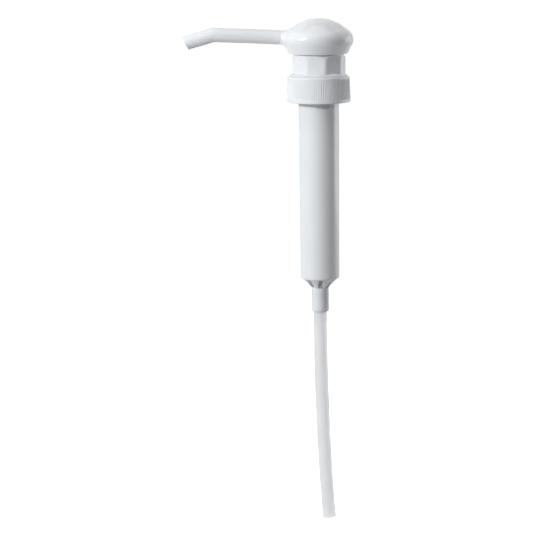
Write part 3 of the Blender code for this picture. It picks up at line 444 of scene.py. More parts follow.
def mottle(material, principled, base, depth, noise):
    """Varies the base colour a little between a darker and a lighter tone of itself."""
    mix = node(material, "ShaderNodeMix", data_type="RGBA")
    ends = {"A_Color": 1 - depth, "B_Color": 1 + depth}
    for socket in mix.inputs:
        if socket.identifier in ends:
            tone = (min(1, channel * ends[socket.identifier]) for channel in base)
            socket.default_value = (*tone, 1)
    result = next(socket for socket in mix.outputs if socket.identifier == "Result_Color")
    material.node_tree.links.new(noise.outputs["Fac"], mix.inputs[0])
    material.node_tree.links.new(result, principled.inputs["Base Color"])


def uneven_gloss(material, principled, low, high, noise):
    """Varies the roughness between two values."""
    span = node(material, "ShaderNodeMapRange")
    span.inputs["From Min"].default_value = 0.3
    span.inputs["From Max"].default_value = 0.7
    span.inputs["To Min"].default_value = low
    span.inputs["To Max"].default_value = high
    link(material, noise, "Fac", span, "Value")
    link(material, span, "Result", principled, "Roughness")


def relief(material, principled, noise, depth, below=None):
    """Adds a fine bump of a depth in metres, over another bump where one is given."""
    bump = node(material, "ShaderNodeBump", Strength=1.0, Distance=depth)
    link(material, noise, "Fac", bump, "Height")
    if below:
        link(material, below, "Normal", bump, "Normal")
    link(material, bump, "Normal", principled, "Normal")
    return bump


def glossy_plastic(name, base, roughness=0.13, wave=2.5e-5):
    """Injection-moulded polypropylene: glossy, faintly wavy, with cloudy gloss and tone."""
    material, principled = shader(
        name, base, roughness, Subsurface_Weight=0.12, Subsurface_Scale=0.0015, IOR=1.49
    )
    principled.inputs["Subsurface Radius"].default_value = (1.0, 0.95, 0.9)
    mottle(material, principled, base, 0.02, noise_field(material, 45.0, 3.0))
    clouds = noise_field(material, 160.0, 4.0, (1, 1, 0.4))
    uneven_gloss(material, principled, roughness - 0.03, roughness + 0.05, clouds)
    waves = relief(material, principled, noise_field(material, 130.0, 1.0), wave)
    relief(material, principled, noise_field(material, 2600.0, 2.0), 1.2e-6, waves)
    return material


def milky_plastic(name, base):
    """Natural polyethylene tube: satin, milky, letting light through, with draw lines."""
    material, principled = shader(name, base, 0.34, Transmission_Weight=0.75, IOR=1.5)
    mottle(material, principled, base, 0.025, noise_field(material, 30.0, 3.0, (1, 1, 0.3)))
    lines = noise_field(material, 700.0, 2.0, (1, 1, 0.012))
    uneven_gloss(material, principled, 0.28, 0.42, lines)
    relief(material, principled, lines, 6e-6)
    return material


def rubber(name, base):
    """Soft seal rubber: matt, finely grained, a little dusty."""
    material, principled = shader(name, base, 0.6, Sheen_Weight=0.15)
    mottle(material, principled, base, 0.12, noise_field(material, 400.0, 3.0))
    relief(material, principled, noise_field(material, 3500.0, 3.0), 6e-6)
    return material


def foam(name, base):
    """Closed-cell gasket foam: matt, with the pores of its cut cells."""
    material, principled = shader(name, base, 0.85, Sheen_Weight=0.1)
    place = node(material, "ShaderNodeTexCoord")
    cells = node(material, "ShaderNodeTexVoronoi", Scale=2600.0)
    link(material, place, "Object", cells, "Vector")
    bump = node(material, "ShaderNodeBump", Strength=0.6, Distance=6e-5)
    link(material, cells, "Distance", bump, "Height")
    link(material, bump, "Normal", principled, "Normal")
    mottle(material, principled, base, 0.05, noise_field(material, 900.0))
    return material


def drawn_steel(name, base):
    """Drawn spring wire: metallic, with fine streaks and uneven polish."""
    material, principled = shader(name, base, 0.3, Metallic=1.0)
    streaks = noise_field(material, 1500.0, 3.0, (1, 1, 3))
    mottle(material, principled, base, 0.1, streaks)
    uneven_gloss(material, principled, 0.2, 0.38, streaks)
    relief(material, principled, streaks, 2e-6)
    return material


def finish(name):
    """The material of a slot of the record, made when it is first asked for."""
    made = bpy.data.materials.get(f"pump_{name}")
    if made:
        return made
    colours = settings()[2]
    makers = {
        "gloss_white": lambda n: glossy_plastic(n, colours.white),
        "inner_white": lambda n: glossy_plastic(n, colours.inner, 0.3),
        "tube_natural": lambda n: milky_plastic(n, colours.tube),
        "seal_grey": lambda n: rubber(n, colours.rubber),
        "gasket_foam": lambda n: foam(n, colours.foam),
        "ball_white": lambda n: glossy_plastic(n, colours.ball, 0.12, 5e-6),
        "spring_steel": lambda n: drawn_steel(n, colours.steel),
    }
    return makers[name](f"pump_{name}")


def dress(piece, slot, body, *nodes):
    """Gives a piece its finish, lets it stand for nodes, and lets it ride on a body."""
    piece.data.materials.append(finish(slot))
    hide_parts(*nodes)
    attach(piece, body)
    return piece


# ---------------------------------------------------------------- knob, core and spout


def knob_levels():
    """The knob's centres of curvature: crown height, belly radius and belly height.

    The belly's circle lies where a straight slope, touching the crown's circle, also touches
    it, and its outermost point is the knob's radius.
    """
    knob = settings()[0]
    high = extent("knob")[1]
    crown, belly = knob.crown / MM, knob.belly / MM
    belly_x = high[0] - belly
    crown_z = high[2] - crown
    run = belly_x + (belly - crown) * math.sin(knob.slope)
    belly_z = crown_z + (crown - belly) * math.cos(knob.slope) - run * math.tan(knob.slope)
    return crown_z, belly_x, belly_z


def circle_arc(centre, radius, start, end, steps):
    """Points on a circle in the (radius, height) plane between two angles in radians."""
    angle = np.linspace(start, end, steps + 1)
    return np.stack([centre[0] + radius * np.cos(angle), centre[1] + radius * np.sin(angle)], -1)


def knob_profile(inset, steps):
    """The knob's profile from near its crown to its lower side, moved inwards by an inset:
    an arc of the crown, a straight slope, and the belly's arc."""
    knob = settings()[0]
    crown_z, belly_x, belly_z = knob_levels()
    turn_from = math.pi / 2 - knob.slope
    crown = circle_arc((0, crown_z), knob.crown / MM - inset, math.pi / 2, turn_from, steps)
    belly = circle_arc(
        (belly_x, belly_z), knob.belly / MM - inset, turn_from, -knob.under, steps
    )
    slope = paced(np.array([crown[-1], belly[0]]), pitch=1.5, closed=False)
    return np.concatenate([crown[1:-1], slope, belly[1:]])


def under_radius(height, inset):
    """Radius of the knob's lower side at a height, moved inwards by an inset."""
    knob = settings()[0]
    _, belly_x, belly_z = knob_levels()
    end_r = belly_x + (knob.belly / MM - inset) * math.cos(knob.under)
    end_z = belly_z - (knob.belly / MM - inset) * math.sin(knob.under)
    return end_r - (end_z - height) * math.tan(knob.under)


def make_knob():
    """The hollow domed knob: its outer and inner profiles spun about the axis, both closed at
    the axis by a pole."""
    knob = settings()[0]
    low, high = extent("knob")
    rim_z, wall, rim = low[2], knob.wall / MM, knob.rim / MM
    outer = knob_profile(0, 28)
    inner = knob_profile(wall, 14)[::-1]
    edge = [
        (*outer[-1], 0),
        (under_radius(rim_z, 0), rim_z, rim),
        (under_radius(rim_z, wall), rim_z, 0.3),
        (*inner[0], 0),
    ]
    edge = paced(rounded(edge, 8), closed=False, pitch=1.5)[1:-1]
    path = np.concatenate([outer, edge, inner])
    grid = spun(path[:, 0], path[:, 1], 192)
    poles = ((0, (0, 0, high[2])), (-1, (0, 0, high[2] - wall)))
    return dress(skin("press_knob", grid, False, poles), "gloss_white", "plunger", "knob")


def over_knob(points):
    """Distance of points from the knob's outside: from its crown's circle, from its straight
    slope, from its belly's circle or from its lower side, whichever faces the point."""
    knob = settings()[0]
    crown_z, belly_x, belly_z = knob_levels()
    radius = np.hypot(points[..., 0], points[..., 1])
    above_crown = points[..., 2] - crown_z
    across, above = radius - belly_x, points[..., 2] - belly_z
    lean = np.arctan2(above, across)
    belly = knob.belly / MM
    sin_s, cos_s = math.sin(knob.slope), math.cos(knob.slope)
    sin_u, cos_u = math.sin(knob.under), math.cos(knob.under)
    gap = np.hypot(across, above) - belly
    gap = np.where(lean > math.pi / 2 - knob.slope, across * sin_s + above * cos_s - belly, gap)
    gap = np.where(lean < -knob.under, across * cos_u - above * sin_u - belly, gap)
    crown = np.hypot(radius, above_crown) - knob.crown / MM
    return np.where(np.arctan2(radius, above_crown) < knob.slope, crown, gap)


def bed_reach(root, along, spokes, depth):
    """How far along the spout lines beside its axis meet the knob, a depth under its outside,
    found for all lines at once by halving."""
    low = np.zeros(spokes.shape[:-1])
    high = np.full(spokes.shape[:-1], 40.0)
    for _ in range(40):
        middle = (low + high) / 2
        inside = over_knob(root + spokes + along * middle[..., None]) < -depth
        low, high = np.where(inside, middle, low), np.where(inside, high, middle)
    return high


def spout_axis():
    """A point on the spout's axis above the pump's axis, its direction outwards and its up."""
    knob = settings()[0]
    root = np.array([0, 0, extent("knob")[0][2] + knob.axis / MM])
    along = np.array([-math.cos(knob.rise), 0, math.sin(knob.rise)])
    return root, along, np.array([math.sin(knob.rise), 0, math.cos(knob.rise)])


def make_spout():
    """The spout: a round pipe on a bent path, with a fillet that runs out into the knob.

    The path is a straight rising run, an arc and a dropping tip cut off slantwise. The fillet
    at each angle is a quarter circle from the pipe's side out to a ring round it, pushed along
    the pipe until that ring lies on the knob. The bore is the same path at a smaller radius.
    """
    knob = settings()[0]
    outer, bore, fillet = knob.spout / MM, knob.bore / MM, knob.fillet / MM
    rise, drop, mouth = knob.rise, knob.drop, knob.mouth
    columns = 96
    run_start, bend_margin, tip_margin = 27.5, 0.3, 3.2
    fillet_sink, hidden_sink = 0.02, 0.6  # how deep the fillet and the row behind it lie
    root, along, up = spout_axis()
    bend = root + along * (knob.bend / MM / math.cos(rise))
    back = knob.bend_radius / MM * math.tan((rise + drop) / 2)
    centre = bend - along * back - up * knob.bend_radius / MM
    lean = np.linspace(rise, -drop, 13)[:, None]
    level = np.array([0.0, 0, 1.0])
    arc_up = np.sin(lean) * np.array([1.0, 0, 0]) + np.cos(lean) * level
    arc_along = -np.cos(lean) * np.array([1.0, 0, 0]) + np.sin(lean) * level
    arc = centre + arc_up * knob.bend_radius / MM
    tip_along = np.array([-math.cos(drop), 0, -math.sin(drop)])
    tip = bend + tip_along * (knob.tip / MM / math.cos(drop))
    facing = np.array([-math.cos(mouth), 0, -math.sin(mouth)])

    run = np.linspace(run_start, np.linalg.norm(arc[0] - root) - bend_margin, 10)
    run = root + along * run[:, None]
    tip_run = np.linspace(bend_margin, np.linalg.norm(tip - arc[-1]) - tip_margin, 4)
    tip_run = arc[-1] + tip_along * tip_run[:, None]
    edge = 0.35
    turns = np.linspace(0, math.pi / 2, 6)
    lip = tip - tip_along * (edge * (1 - np.sin(turns)))[:, None]
    lip_radii = outer - edge * (1 - np.cos(turns))
    middle = np.concatenate([run, arc, tip_run])
    before, after = (along, len(run)), (tip_along, len(tip_run))
    before, after = (np.repeat(way[None], count, 0) for way, count in (before, after))
    middle_along = np.concatenate([before, arc_along, after])
    outside = swept(middle, middle_along, np.full(len(middle), outer), columns)
    near = tip - tip_along * (edge + 0.25)
    inner_rows = tip - tip_along * np.array([0.0, 0.2, 0.5, 3.0])[:, None]
    inner_radii = np.array([bore + 0.2, bore + 0.05, bore, bore])
    ends = np.concatenate([near[None], lip, inner_rows])
    ends_radii = np.concatenate([[outer], lip_radii, inner_radii])
    ends_along = np.repeat(tip_along[None], len(ends), 0)
    ends_facing = np.repeat(facing[None], len(ends), 0)
    ends = swept(ends, ends_along, ends_radii, columns, ends_facing)
    inside = swept(middle[::-1], middle_along[::-1], np.full(len(middle), bore), columns)

    angle = np.arange(columns) * TAU / columns
    spokes = np.cos(angle)[:, None] * np.array([0, 1.0, 0]) + np.sin(angle)[:, None] * up
    turns = np.linspace(0, math.pi / 2, 15)
    radii = outer + fillet * (1 - np.sin(turns))
    lift = fillet * (1 - np.cos(turns))
    wide = spokes[None] * radii[:, None, None]
    reach = bed_reach(root, along, wide, fillet_sink) + lift[:, None]
    flare = root + wide + along * reach[..., None]
    under = spokes * (outer + fillet - 0.2)
    under_reach = bed_reach(root, along, under, hidden_sink)
    hidden = root + under + along * under_reach[:, None]
    start = 9.85  # distance of the spout's inner end from the pump's axis
    tail = [root + spokes * outer + along * (start + 4.0), root + spokes * outer + along * start]
    tail += [root + spokes * bore + along * start]
    grid = np.concatenate([np.stack(tail[::-1]), hidden[None], flare, outside, ends, inside])
    return dress(skin("spout", grid), "gloss_white", "plunger", "spout_tube")


def make_core():
    """The core under the knob: lock thread, flange, chamber and stem socket.

    Its profile is spun, and its wall below the flange is pushed out by the thread's ridge, a
    function of angle and height. A short round port, a profile spun about the spout's axis,
    reaches out to the spout.
    """
    low, high = extent("head_core")
    knob_low = extent("knob")[0]
    stem_top = extent("stem")[1][2] + GAP
    flange_z, foot_z = knob_low[2] + 0.8, low[2]
    flange_r = under_radius(flange_z, settings()[0].wall / MM) - GAP
    flange_top, chamber_r, eye_r = flange_z + 1.6, 8.0, 0.4
    stem_hole, roof = STEM_R + GAP, stem_top + 9.1
    corners = [
        (stem_hole, stem_top, 0.1),
        (stem_hole, foot_z, 0.3),
        (LOCK_R, foot_z, 0.4),
        (LOCK_R, flange_z, 0.2),
        (flange_r, flange_z, 0.3),
        (flange_r, flange_top, 0.3),
        (chamber_r, flange_top, 0.5),
        (chamber_r, high[2], 1.0),
        (eye_r, high[2], 0),
        (eye_r, roof, 0),
        (STEM_BORE, roof - 1, 0.2),
        (STEM_BORE, stem_top, 0.1),
    ]
    path = paced(rounded(corners, 5), 4.0, fine=(LOCK_R, 0.2))
    columns = 160
    angle = np.arange(columns)[None] * TAU / columns
    levels = path[:, 1][:, None]
    on_wall = np.abs(path[:, 0] - LOCK_R)[:, None] < NEAR
    ridge = thread(angle, levels, foot_z, extent("locking_collar")[1][2], THREAD_PITCH)
    radii = path[:, 0][:, None] + on_wall * ridge
    core = skin("core", spun(radii, path[:, 1], columns))
    dress(core, "inner_white", "plunger", "head_core")

    root, along, up = spout_axis()
    port_r, hole_r, port_foot = 6.3, 5.05, 7.6
    reach = bed_reach(root, along, up * port_r, settings()[0].wall / MM + 0.4)
    chamfer = reach - 0.3
    steps = np.array([port_foot, chamfer, reach, reach, chamfer, port_foot])
    port_radii = np.array([port_r, port_r, port_r - 0.3, hole_r + 0.2, hole_r, hole_r])
    path = root + along * steps[:, None]
    port = skin("spout_port", swept(path, np.repeat(along[None], 6, 0), port_radii, 96))
    return dress(port, "inner_white", "plunger", "head_core")


# ---------------------------------------------------------------- collar and cap


def flat_sided(angle, sides, corner_r, first, rounding):
    """Radius of a flat-sided outline at an angle: a side's straight line, and near a corner
    the circle of the rounding that touches both sides."""
    half = math.pi / sides
    apothem = corner_r * math.cos(half)
    centre = (apothem - rounding) / math.cos(half)
    off = (angle - first + half) % (2 * half) - half
    beta = half - np.abs(off)
    side = apothem / np.cos(beta)
    root = np.maximum(rounding**2 - (centre * np.sin(off)) ** 2, 0)
    arc = centre * np.cos(off) + np.sqrt(root)
    touch = math.atan2((apothem - rounding) * math.tan(half), apothem)
    return np.where(beta > touch, arc, side)


def make_collar():
    """The nine-sided locking collar.

    Its outside is a radius over angle and height: the smaller of the flat-sided outline and a
    turned envelope with a round top, and the larger of that and the foot's flare, with soft
    creases. Its two bores carry thread ridges.
    """
    housing = settings()[1]
    high = extent("locking_collar")[1]
    foot_z, top_z, foot_r = extent("closure_cap")[1][2] + 0.04, high[2], high[0]
    columns = 432
    angle = np.arange(columns) * TAU / columns
    outline = flat_sided(
        angle, housing.sides, housing.collar / MM, housing.collar_turn, housing.corner / MM
    )[None]
    top_round, flare = housing.top_round / MM, housing.flare / MM
    turns = np.linspace(0, math.pi / 2, 22)
    levels = np.concatenate(
        [
            foot_z + FOOT_T + flare * (1 - np.cos(turns)),
            np.linspace(foot_z + 3.2, top_z - top_round - 0.4, 10),
            top_z - top_round + top_round * np.sin(turns),
        ]
    )[:, None]
    rise = np.clip(levels - (top_z - top_round), 0, top_round)
    envelope = housing.collar / MM + 0.1 - top_round + np.sqrt(top_round**2 - rise**2)
    outside = soft_min(outline, envelope, 0.25)
    flare_rise = np.clip(levels - (foot_z + FOOT_T), 0, flare)
    flare_r = foot_r - np.sqrt(flare**2 - (flare - flare_rise) ** 2)
    outside = soft_max(outside, flare_r, 0.2)
    top_r = COLLAR_LOCK_R + 2.0
    top = outside[-1] + (top_r - outside[-1]) * np.array([1 / 3, 2 / 3])[:, None]

    shelf_z = extent("gland_bushing")[1][2] + GAP
    corners = [
        (top_r, top_z, 0),
        (COLLAR_LOCK_R, top_z, 0.4),
        (COLLAR_LOCK_R, shelf_z, 0.15),
        (COLLAR_BORE_R, shelf_z, 0.2),
        (COLLAR_BORE_R, foot_z, 0.3),
        (foot_r, foot_z, 0.15),
        (foot_r, foot_z + FOOT_T, 0),
    ]
    path = rounded(corners, 5)
    path = paced(path, 2.0, closed=False, fine=(COLLAR_LOCK_R, 0.25))
    path = paced(path, 2.0, closed=False, fine=(COLLAR_BORE_R, 0.25))[:-1]
    spread, level, wall = angle[None], path[:, 1:2], path[:, :1]
    lock = thread(spread, level, shelf_z + GAP + THREAD_PITCH / 2, top_z, THREAD_PITCH)
    neck_z = foot_z + THREAD_PITCH / 2
    neck = thread(spread, level, neck_z, neck_z + NECK_RISE, THREAD_PITCH)
    inner = wall - (np.abs(wall - COLLAR_LOCK_R) < NEAR) * lock
    inner = inner - (np.abs(wall - COLLAR_BORE_R) < NEAR) * neck * NECK_THREAD
    radii = np.concatenate([outside, top, inner])
    levels = np.concatenate([levels[:, 0], [top_z, top_z], path[:, 1]])
    collar = skin("lock_collar", spun(radii, levels, columns))
    return dress(collar, "gloss_white", "housing", "locking_collar")


def make_cap():
    """The ribbed screw cap.

    Its profile is spun. Between the shoulder and the lip the radius drops by a rounded wave of
    the angle, one wave a rib, that fades out over the ends of the ribs. Inside, the wall
    carries the jug's thread as a ridge over angle and height.
    """
    housing = settings()[1]
    low, high = extent("closure_cap")
    foot_z, top_z, foot_r = low[2], high[2], high[0]
    top_r = foot_r - CAP_TAPER
    root_r, hole_r = foot_r - CAP_WALL, COLLAR_BORE_R
    corners = [
        (hole_r, top_z, 0.25),
        (top_r, top_z, 1.2),
        (foot_r, foot_z, 0.7),
        (root_r + 0.5, foot_z, 0.2),
        (root_r, foot_z + 0.5, 0.2),
        (root_r, top_z - CAP_TOP_T, 0.5),
        (hole_r, top_z - CAP_TOP_T, 0.2),
    ]
    path = paced(rounded(corners, 7), 0.8, fine=(root_r, 0.35))
    columns = housing.ribs * 6
    angle = np.arange(columns)[None] * TAU / columns
    levels, wall = path[:, 1:2], path[:, :1]
    rib_top, rib_foot = top_z - 1.3, foot_z + 1.6
    rib_fade = 0.8
    ends = np.clip(np.minimum(rib_top - levels, levels - rib_foot) / rib_fade, 0, 1)
    ends = ends * ends * (3 - 2 * ends)
    wave = (0.5 - 0.5 * np.cos(angle * housing.ribs)) ** 1.3
    outside = wall > (root_r + top_r) / 2
    ridge = thread(angle, levels, foot_z + JUG_PITCH / 2, 0.0, JUG_PITCH)
    inside = np.abs(wall - root_r) < NEAR
    radii = wall - outside * housing.rib / MM * wave * ends - inside * ridge * JUG_THREAD
    cap = skin("screw_cap", spun(radii, path[:, 1], columns))
    return dress(cap, "gloss_white", "closure", "closure_cap")


# ---------------------------------------------------------------- cylinder, tube and inside


def make_barrel():
    """The cylinder's barrel: threaded neck, flange, tapered wall and rounded foot, spun, with
    the neck pushed out by its thread's ridge."""
    housing = settings()[1]
    high = extent("cylinder")[1]
    bore, neck = housing.bore / MM, housing.neck / MM
    foot_z, flange_r, seat_r = -housing.floor / MM, high[0], 5.0
    corners = [
        (bore, high[2], 0.3),
        (neck, high[2], 0.3),
        (neck, FLANGE_TOP, 0.2),
        (flange_r, FLANGE_TOP, 0.3),
        (flange_r, FLANGE_FOOT, 0.3),
        (housing.barrel / MM, FLANGE_FOOT, 0.3),
        (housing.barrel_foot / MM, foot_z, 1.7),
        (INLET_R, foot_z, 0.1),
        (INLET_R, foot_z + 0.6, 0.0),
        (seat_r, foot_z + FLOOR_T, 0.0),
        (bore, foot_z + FLOOR_T, 0.3),
    ]
    path = paced(rounded(corners, 7), 6.0, fine=(neck, 0.25))
    columns = 160
    angle = np.arange(columns)[None] * TAU / columns
    on_neck = np.abs(path[:, :1] - neck) < NEAR
    ridge = thread(angle, path[:, 1:2], high[2] - NECK_RISE, high[2], THREAD_PITCH)
    radii = path[:, :1] + on_neck * ridge * NECK_THREAD
    barrel = skin("barrel", spun(radii, path[:, 1], columns))
    return dress(barrel, "gloss_white", "housing", "cylinder")


def make_socket():
    """The tube's socket and the webs round it, as a radius over angle and height.

    The webs are a cone at 45 degrees cut by slots. At each height a slot's edge stands at the
    angle whose sine is half the slot's width over the cone's radius there, and over a narrow
    soft step beside it the radius changes from the socket's to the cone's.
    """
    housing = settings()[1]
    low = extent("cylinder")[0]
    floor_z, end_z = -housing.floor / MM, low[2]
    socket, tube_hole = housing.socket / MM, housing.tube / MM + GAP
    columns = housing.webs * 64
    angle = np.arange(columns) * TAU / columns
    pitch = TAU / housing.webs
    off = np.abs((angle - housing.web_turn) % pitch - pitch / 2)[None]
    reach = housing.web_reach / MM
    tip_z = floor_z - (reach - socket)
    rows = [np.linspace(floor_z + 0.5, tip_z + 0.3, 32), tip_z - np.linspace(0, 0.6, 4)]
    rows.append(np.linspace(tip_z - 2, end_z + 1.4, 6))
    levels = np.concatenate(rows)[:, None]
    cone = np.minimum(reach, reach - (floor_z - levels))
    cone = soft_max(cone, socket + 0 * cone, 0.3)
    edge = np.arcsin(np.clip(housing.slot / MM / 2 / cone, 0, 1))
    softness = 0.3 / cone
    share = np.clip((off - edge) / softness + 0.5, 0, 1)
    slot_r = socket - SLOT_DEPTH * np.clip((levels - tip_z) / 0.4, 0, 1)
    outside = slot_r + (cone - slot_r) * share * share * (3 - 2 * share)
    path = rounded(
        [
            (socket, end_z + 1.4, 0),
            (socket, end_z + 1.1, 0.6),
            (tube_hole + 0.3, end_z, 0.2),
            (tube_hole, end_z + 0.4, 0.2),
            (tube_hole, end_z + SOCKET_DEPTH, 0.2),
            (INLET_R, end_z + SOCKET_DEPTH, 0.2),
            (INLET_R, floor_z + 0.5, 0),
        ],
        5,
    )[1:]
    path = paced(path, closed=False)
    radii = np.concatenate([outside, np.repeat(path[:, :1], columns, 1)])
    levels = np.concatenate([levels[:, 0], path[:, 1]])
    tube_socket = skin("tube_socket", spun(radii, levels, columns))
    return dress(tube_socket, "gloss_white", "housing", "cylinder")


def make_dip_tube():
    """The dip tube: a pipe, straight in its socket and then on a wide arc towards +X, with
    softly rounded cut ends."""
    housing = settings()[1]
    outer, bore, bow = housing.tube / MM, housing.tube_bore / MM, housing.bow / MM
    top_z, socket_z = extent("dip_tube")[1][2], extent("cylinder")[0][2]
    turns = np.linspace(0, housing.hang / MM / bow, 40)[:, None]
    right, down = np.array([1.0, 0, 0]), np.array([0, 0, -1.0])
    arc = bow * (1 - np.cos(turns)) * right + bow * np.sin(turns) * down
    arc = arc + np.array([0, 0, socket_z])
    arc_along = np.sin(turns) * right + np.cos(turns) * down
    top = np.array([[0, 0, top_z], [0, 0, top_z - 0.3], [0, 0, socket_z + 1]])
    edge = 0.3
    lip = arc[-1] - arc_along[-1] * np.array([1.0, edge, edge * 0.6, edge * 0.25, 0.0])[:, None]
    lip_radii = np.array([outer, outer, outer - 0.04, outer - 0.12, outer - edge])
    inner_lip = arc[-1] - arc_along[-1] * np.array([0.0, 0.1, 0.3, 1.0])[:, None]
    inner_radii = np.array([bore + 0.2, bore + 0.08, bore, bore])
    path = np.concatenate([top, arc[:-1]])
    along = np.concatenate([np.repeat(down[None], 3, 0), arc_along[:-1]])
    end_along = arc_along[-1][None]
    outside = swept(path, along, np.full(len(path), outer), 96)
    tips = swept(
        np.concatenate([lip, inner_lip]),
        np.repeat(end_along, len(lip) + len(inner_lip), 0),
        np.concatenate([lip_radii, inner_radii]),
        96,
    )
    inside = swept(path[::-1], along[::-1], np.full(len(path), bore), 96)
    tube = skin("suction_tube", np.concatenate([outside, tips, inside]))
    return dress(tube, "tube_natural", "housing", "dip_tube")


def make_stem():
    """The hollow stem: a tube with rounded ends."""
    low, high = extent("stem")
    corners = [
        (STEM_R, high[2], 0.4),
        (STEM_R, low[2], 0.4),
        (STEM_BORE, low[2], 0.2),
        (STEM_BORE, high[2], 0.2),
    ]
    return dress(turned("hollow_stem", corners), "inner_white", "plunger", "stem")


def make_gland():
    """The gland bushing: flange, wiper pocket, guide bore and O-ring groove, spun."""
    low, high = extent("gland_bushing")
    body_r, hole_r, pocket_r = 11.7, STEM_R + GAP, 9.2
    flange_z, pocket_z = high[2] - 0.9, high[2] - 3.0
    groove_r, groove_top, groove_foot = 9.95, 7.2, 5.0
    corners = [
        (pocket_r, high[2], 0.2),
        (high[0], high[2], 0.25),
        (high[0], flange_z, 0.15),
        (body_r, flange_z, 0.15),
        (body_r, groove_top, 0.1),
        (groove_r, groove_top, 0.1),
        (groove_r, groove_foot, 0.1),
        (body_r, groove_foot, 0.1),
        (body_r, low[2], 0.3),
        (hole_r, low[2], 0.3),
        (hole_r, pocket_z, 0.15),
        (pocket_r, pocket_z, 0.15),
    ]
    return dress(turned("gland", corners, steps=4), "inner_white", "housing", "gland_bushing")


def make_wiper():
    """The stem's wiper: a soft ring with a rounded lip against the stem."""
    low, high = extent("stem_wiper_seal")
    shoulder_z, lip_root_r, lip_out_r, lip_in_r = high[2] - 0.4, 7.6, 6.9, 6.4
    corners = [
        (STEM_R + GAP, low[2], 0.1),
        (high[0], low[2], 0.15),
        (high[0], shoulder_z, 0.15),
        (lip_root_r, shoulder_z, 0.2),
        (lip_out_r, high[2], 0.15),
        (lip_in_r, high[2], 0.1),
    ]
    return dress(turned("wiper_ring", corners, steps=4), "seal_grey", "housing", "stem_wiper_seal")


def make_spring():
    """The return spring: a round wire carried up a helix that is closed at both ends.

    The wire's middle rises one closed pitch over the first and the last turn and evenly over
    the turns between.
    """
    low, high = extent("return_spring")
    wire, turns = 0.8, 9
    coil = high[0] - wire
    turn = np.linspace(0, turns, turns * 40 + 1)
    closed = 2 * wire + GAP
    bottom, top = low[2] + wire, high[2] - wire
    open_rise = (top - bottom - 2 * closed) / (turns - 2)
    height = bottom + closed * np.clip(turn, 0, 1) + open_rise * np.clip(turn - 1, 0, turns - 2)
    height = height + closed * np.clip(turn - (turns - 1), 0, 1)
    side = np.arange(12) * TAU / 12
    radius = coil + wire * np.cos(side)[None]
    angle = turn[:, None] * TAU
    level = height[:, None] + wire * np.sin(side)[None]
    grid = np.stack([radius * np.cos(angle), radius * np.sin(angle), level], -1)
    first = (coil, 0, height[0])
    last = (coil * math.cos(turns * TAU), coil * math.sin(turns * TAU), height[-1])
    spring = skin("coil_spring", grid, False, ((0, first), (-1, last)))
    spring.data.materials.append(finish("spring_steel"))
    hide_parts("return_spring")
    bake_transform(spring)
    return spring


INNER_NODES = {
    "gland_o_ring": "seal_grey",
    "neck_gasket": "gasket_foam",
    "inlet_valve_cage": "inner_white",
    "inlet_ball": "ball_white",
    "spring_seat": "inner_white",
    "piston_body": "inner_white",
    "piston_cup_seal": "seal_grey",
    "ball_stop": "inner_white",
    "discharge_ball": "ball_white",
}


def dress_inside():
    """Gives the pieces inside the pump, whose shapes are right as they are, their finishes."""
    for name, slot in INNER_NODES.items():
        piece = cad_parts[name]
        piece.data.materials.clear()
        piece.data.materials.append(finish(slot))


# ---------------------------------------------------------------- studio


def make_floor():
    """A wide sheet of pale paper: flat under the pump, and curving up far from it.

    Its height over the distance from the pump is zero out to a radius, then a quarter circle,
    then a straight wall.
    """
    floor_z = CAD_BOX[0].z
    flat, bend, wall, columns = 5.0, 3.0, 12.0, 96
    angle = np.linspace(0, math.pi / 2, 24)
    radii = np.concatenate([[0.4, 1.5, 3.0], flat + bend * np.sin(angle), [flat + bend]])
    levels = np.concatenate([[0, 0, 0], bend * (1 - np.cos(angle)), [wall]]) + floor_z
    grid = spun(radii / MM, levels / MM, columns)
    points = np.concatenate([grid.reshape(-1, 3), [[0, 0, floor_z / MM]]])
    faces = [grid_faces(len(radii), columns, False)]
    around = np.arange(columns)
    middle = np.full(columns, len(radii) * columns)
    faces.append(np.stack([(around + 1) % columns, around, middle], -1))
    floor = mesh_piece("floor", points, [f[:, ::-1] for f in faces])
    studio = settings()[3]
    material, principled = shader(
        "paper", studio.paper, 0.9, Emission_Strength=studio.floor_glow, Specular_IOR_Level=0.0
    )
    principled.inputs["Emission Color"].default_value = (1, 1, 1, 1)
    floor.data.materials.append(material)
    floor.visible_diffuse = False
    floor.visible_shadow = False


LIGHTS = (
    # name, azimuth to the right of the camera, elevation, distance, width, height, watts
    ("key", -57, 16, 0.75, 0.15, 0.045, 2.4),
    ("key_high", -50, 21, 0.75, 0.2, 0.05, 1.0),
    ("key_front", -36, 16, 0.75, 0.9, 0.7, 0.6),
    ("table_bounce", -55, -35, 0.75, 0.28, 0.234, 1.6),
    ("overhead", -10, 80, 1.6, 1.9, 1.9, 16.0),
    ("back_right", 105, -12, 1.6, 0.5, 1.8, 7.4),
    ("back", 125, -12, 1.6, 0.5, 1.8, 4.6),
    ("small_lamp", 46, 22, 0.75, 0.035, 0.035, 0.42),
)


def area_light(name, azimuth, elevation, distance, size, power):
    """A soft light at an azimuth and an elevation, facing the pump."""
    data = bpy.data.lights.new(name, "AREA")
    data.shape = "RECTANGLE"
    data.size, data.size_y = size
    data.energy = power
    light = bpy.data.objects.new(name, data)
    bpy.context.scene.collection.objects.link(light)
    round_turn, up_turn = math.radians(azimuth), math.radians(elevation)
    level = math.cos(up_turn)
    aim = (math.sin(round_turn) * level, -math.cos(round_turn) * level, math.sin(up_turn))
    aim = Vector(aim)
    light.location = aim * distance
    light.rotation_mode = "QUATERNION"
    light.rotation_quaternion = aim.to_track_quat("Z", "Y")


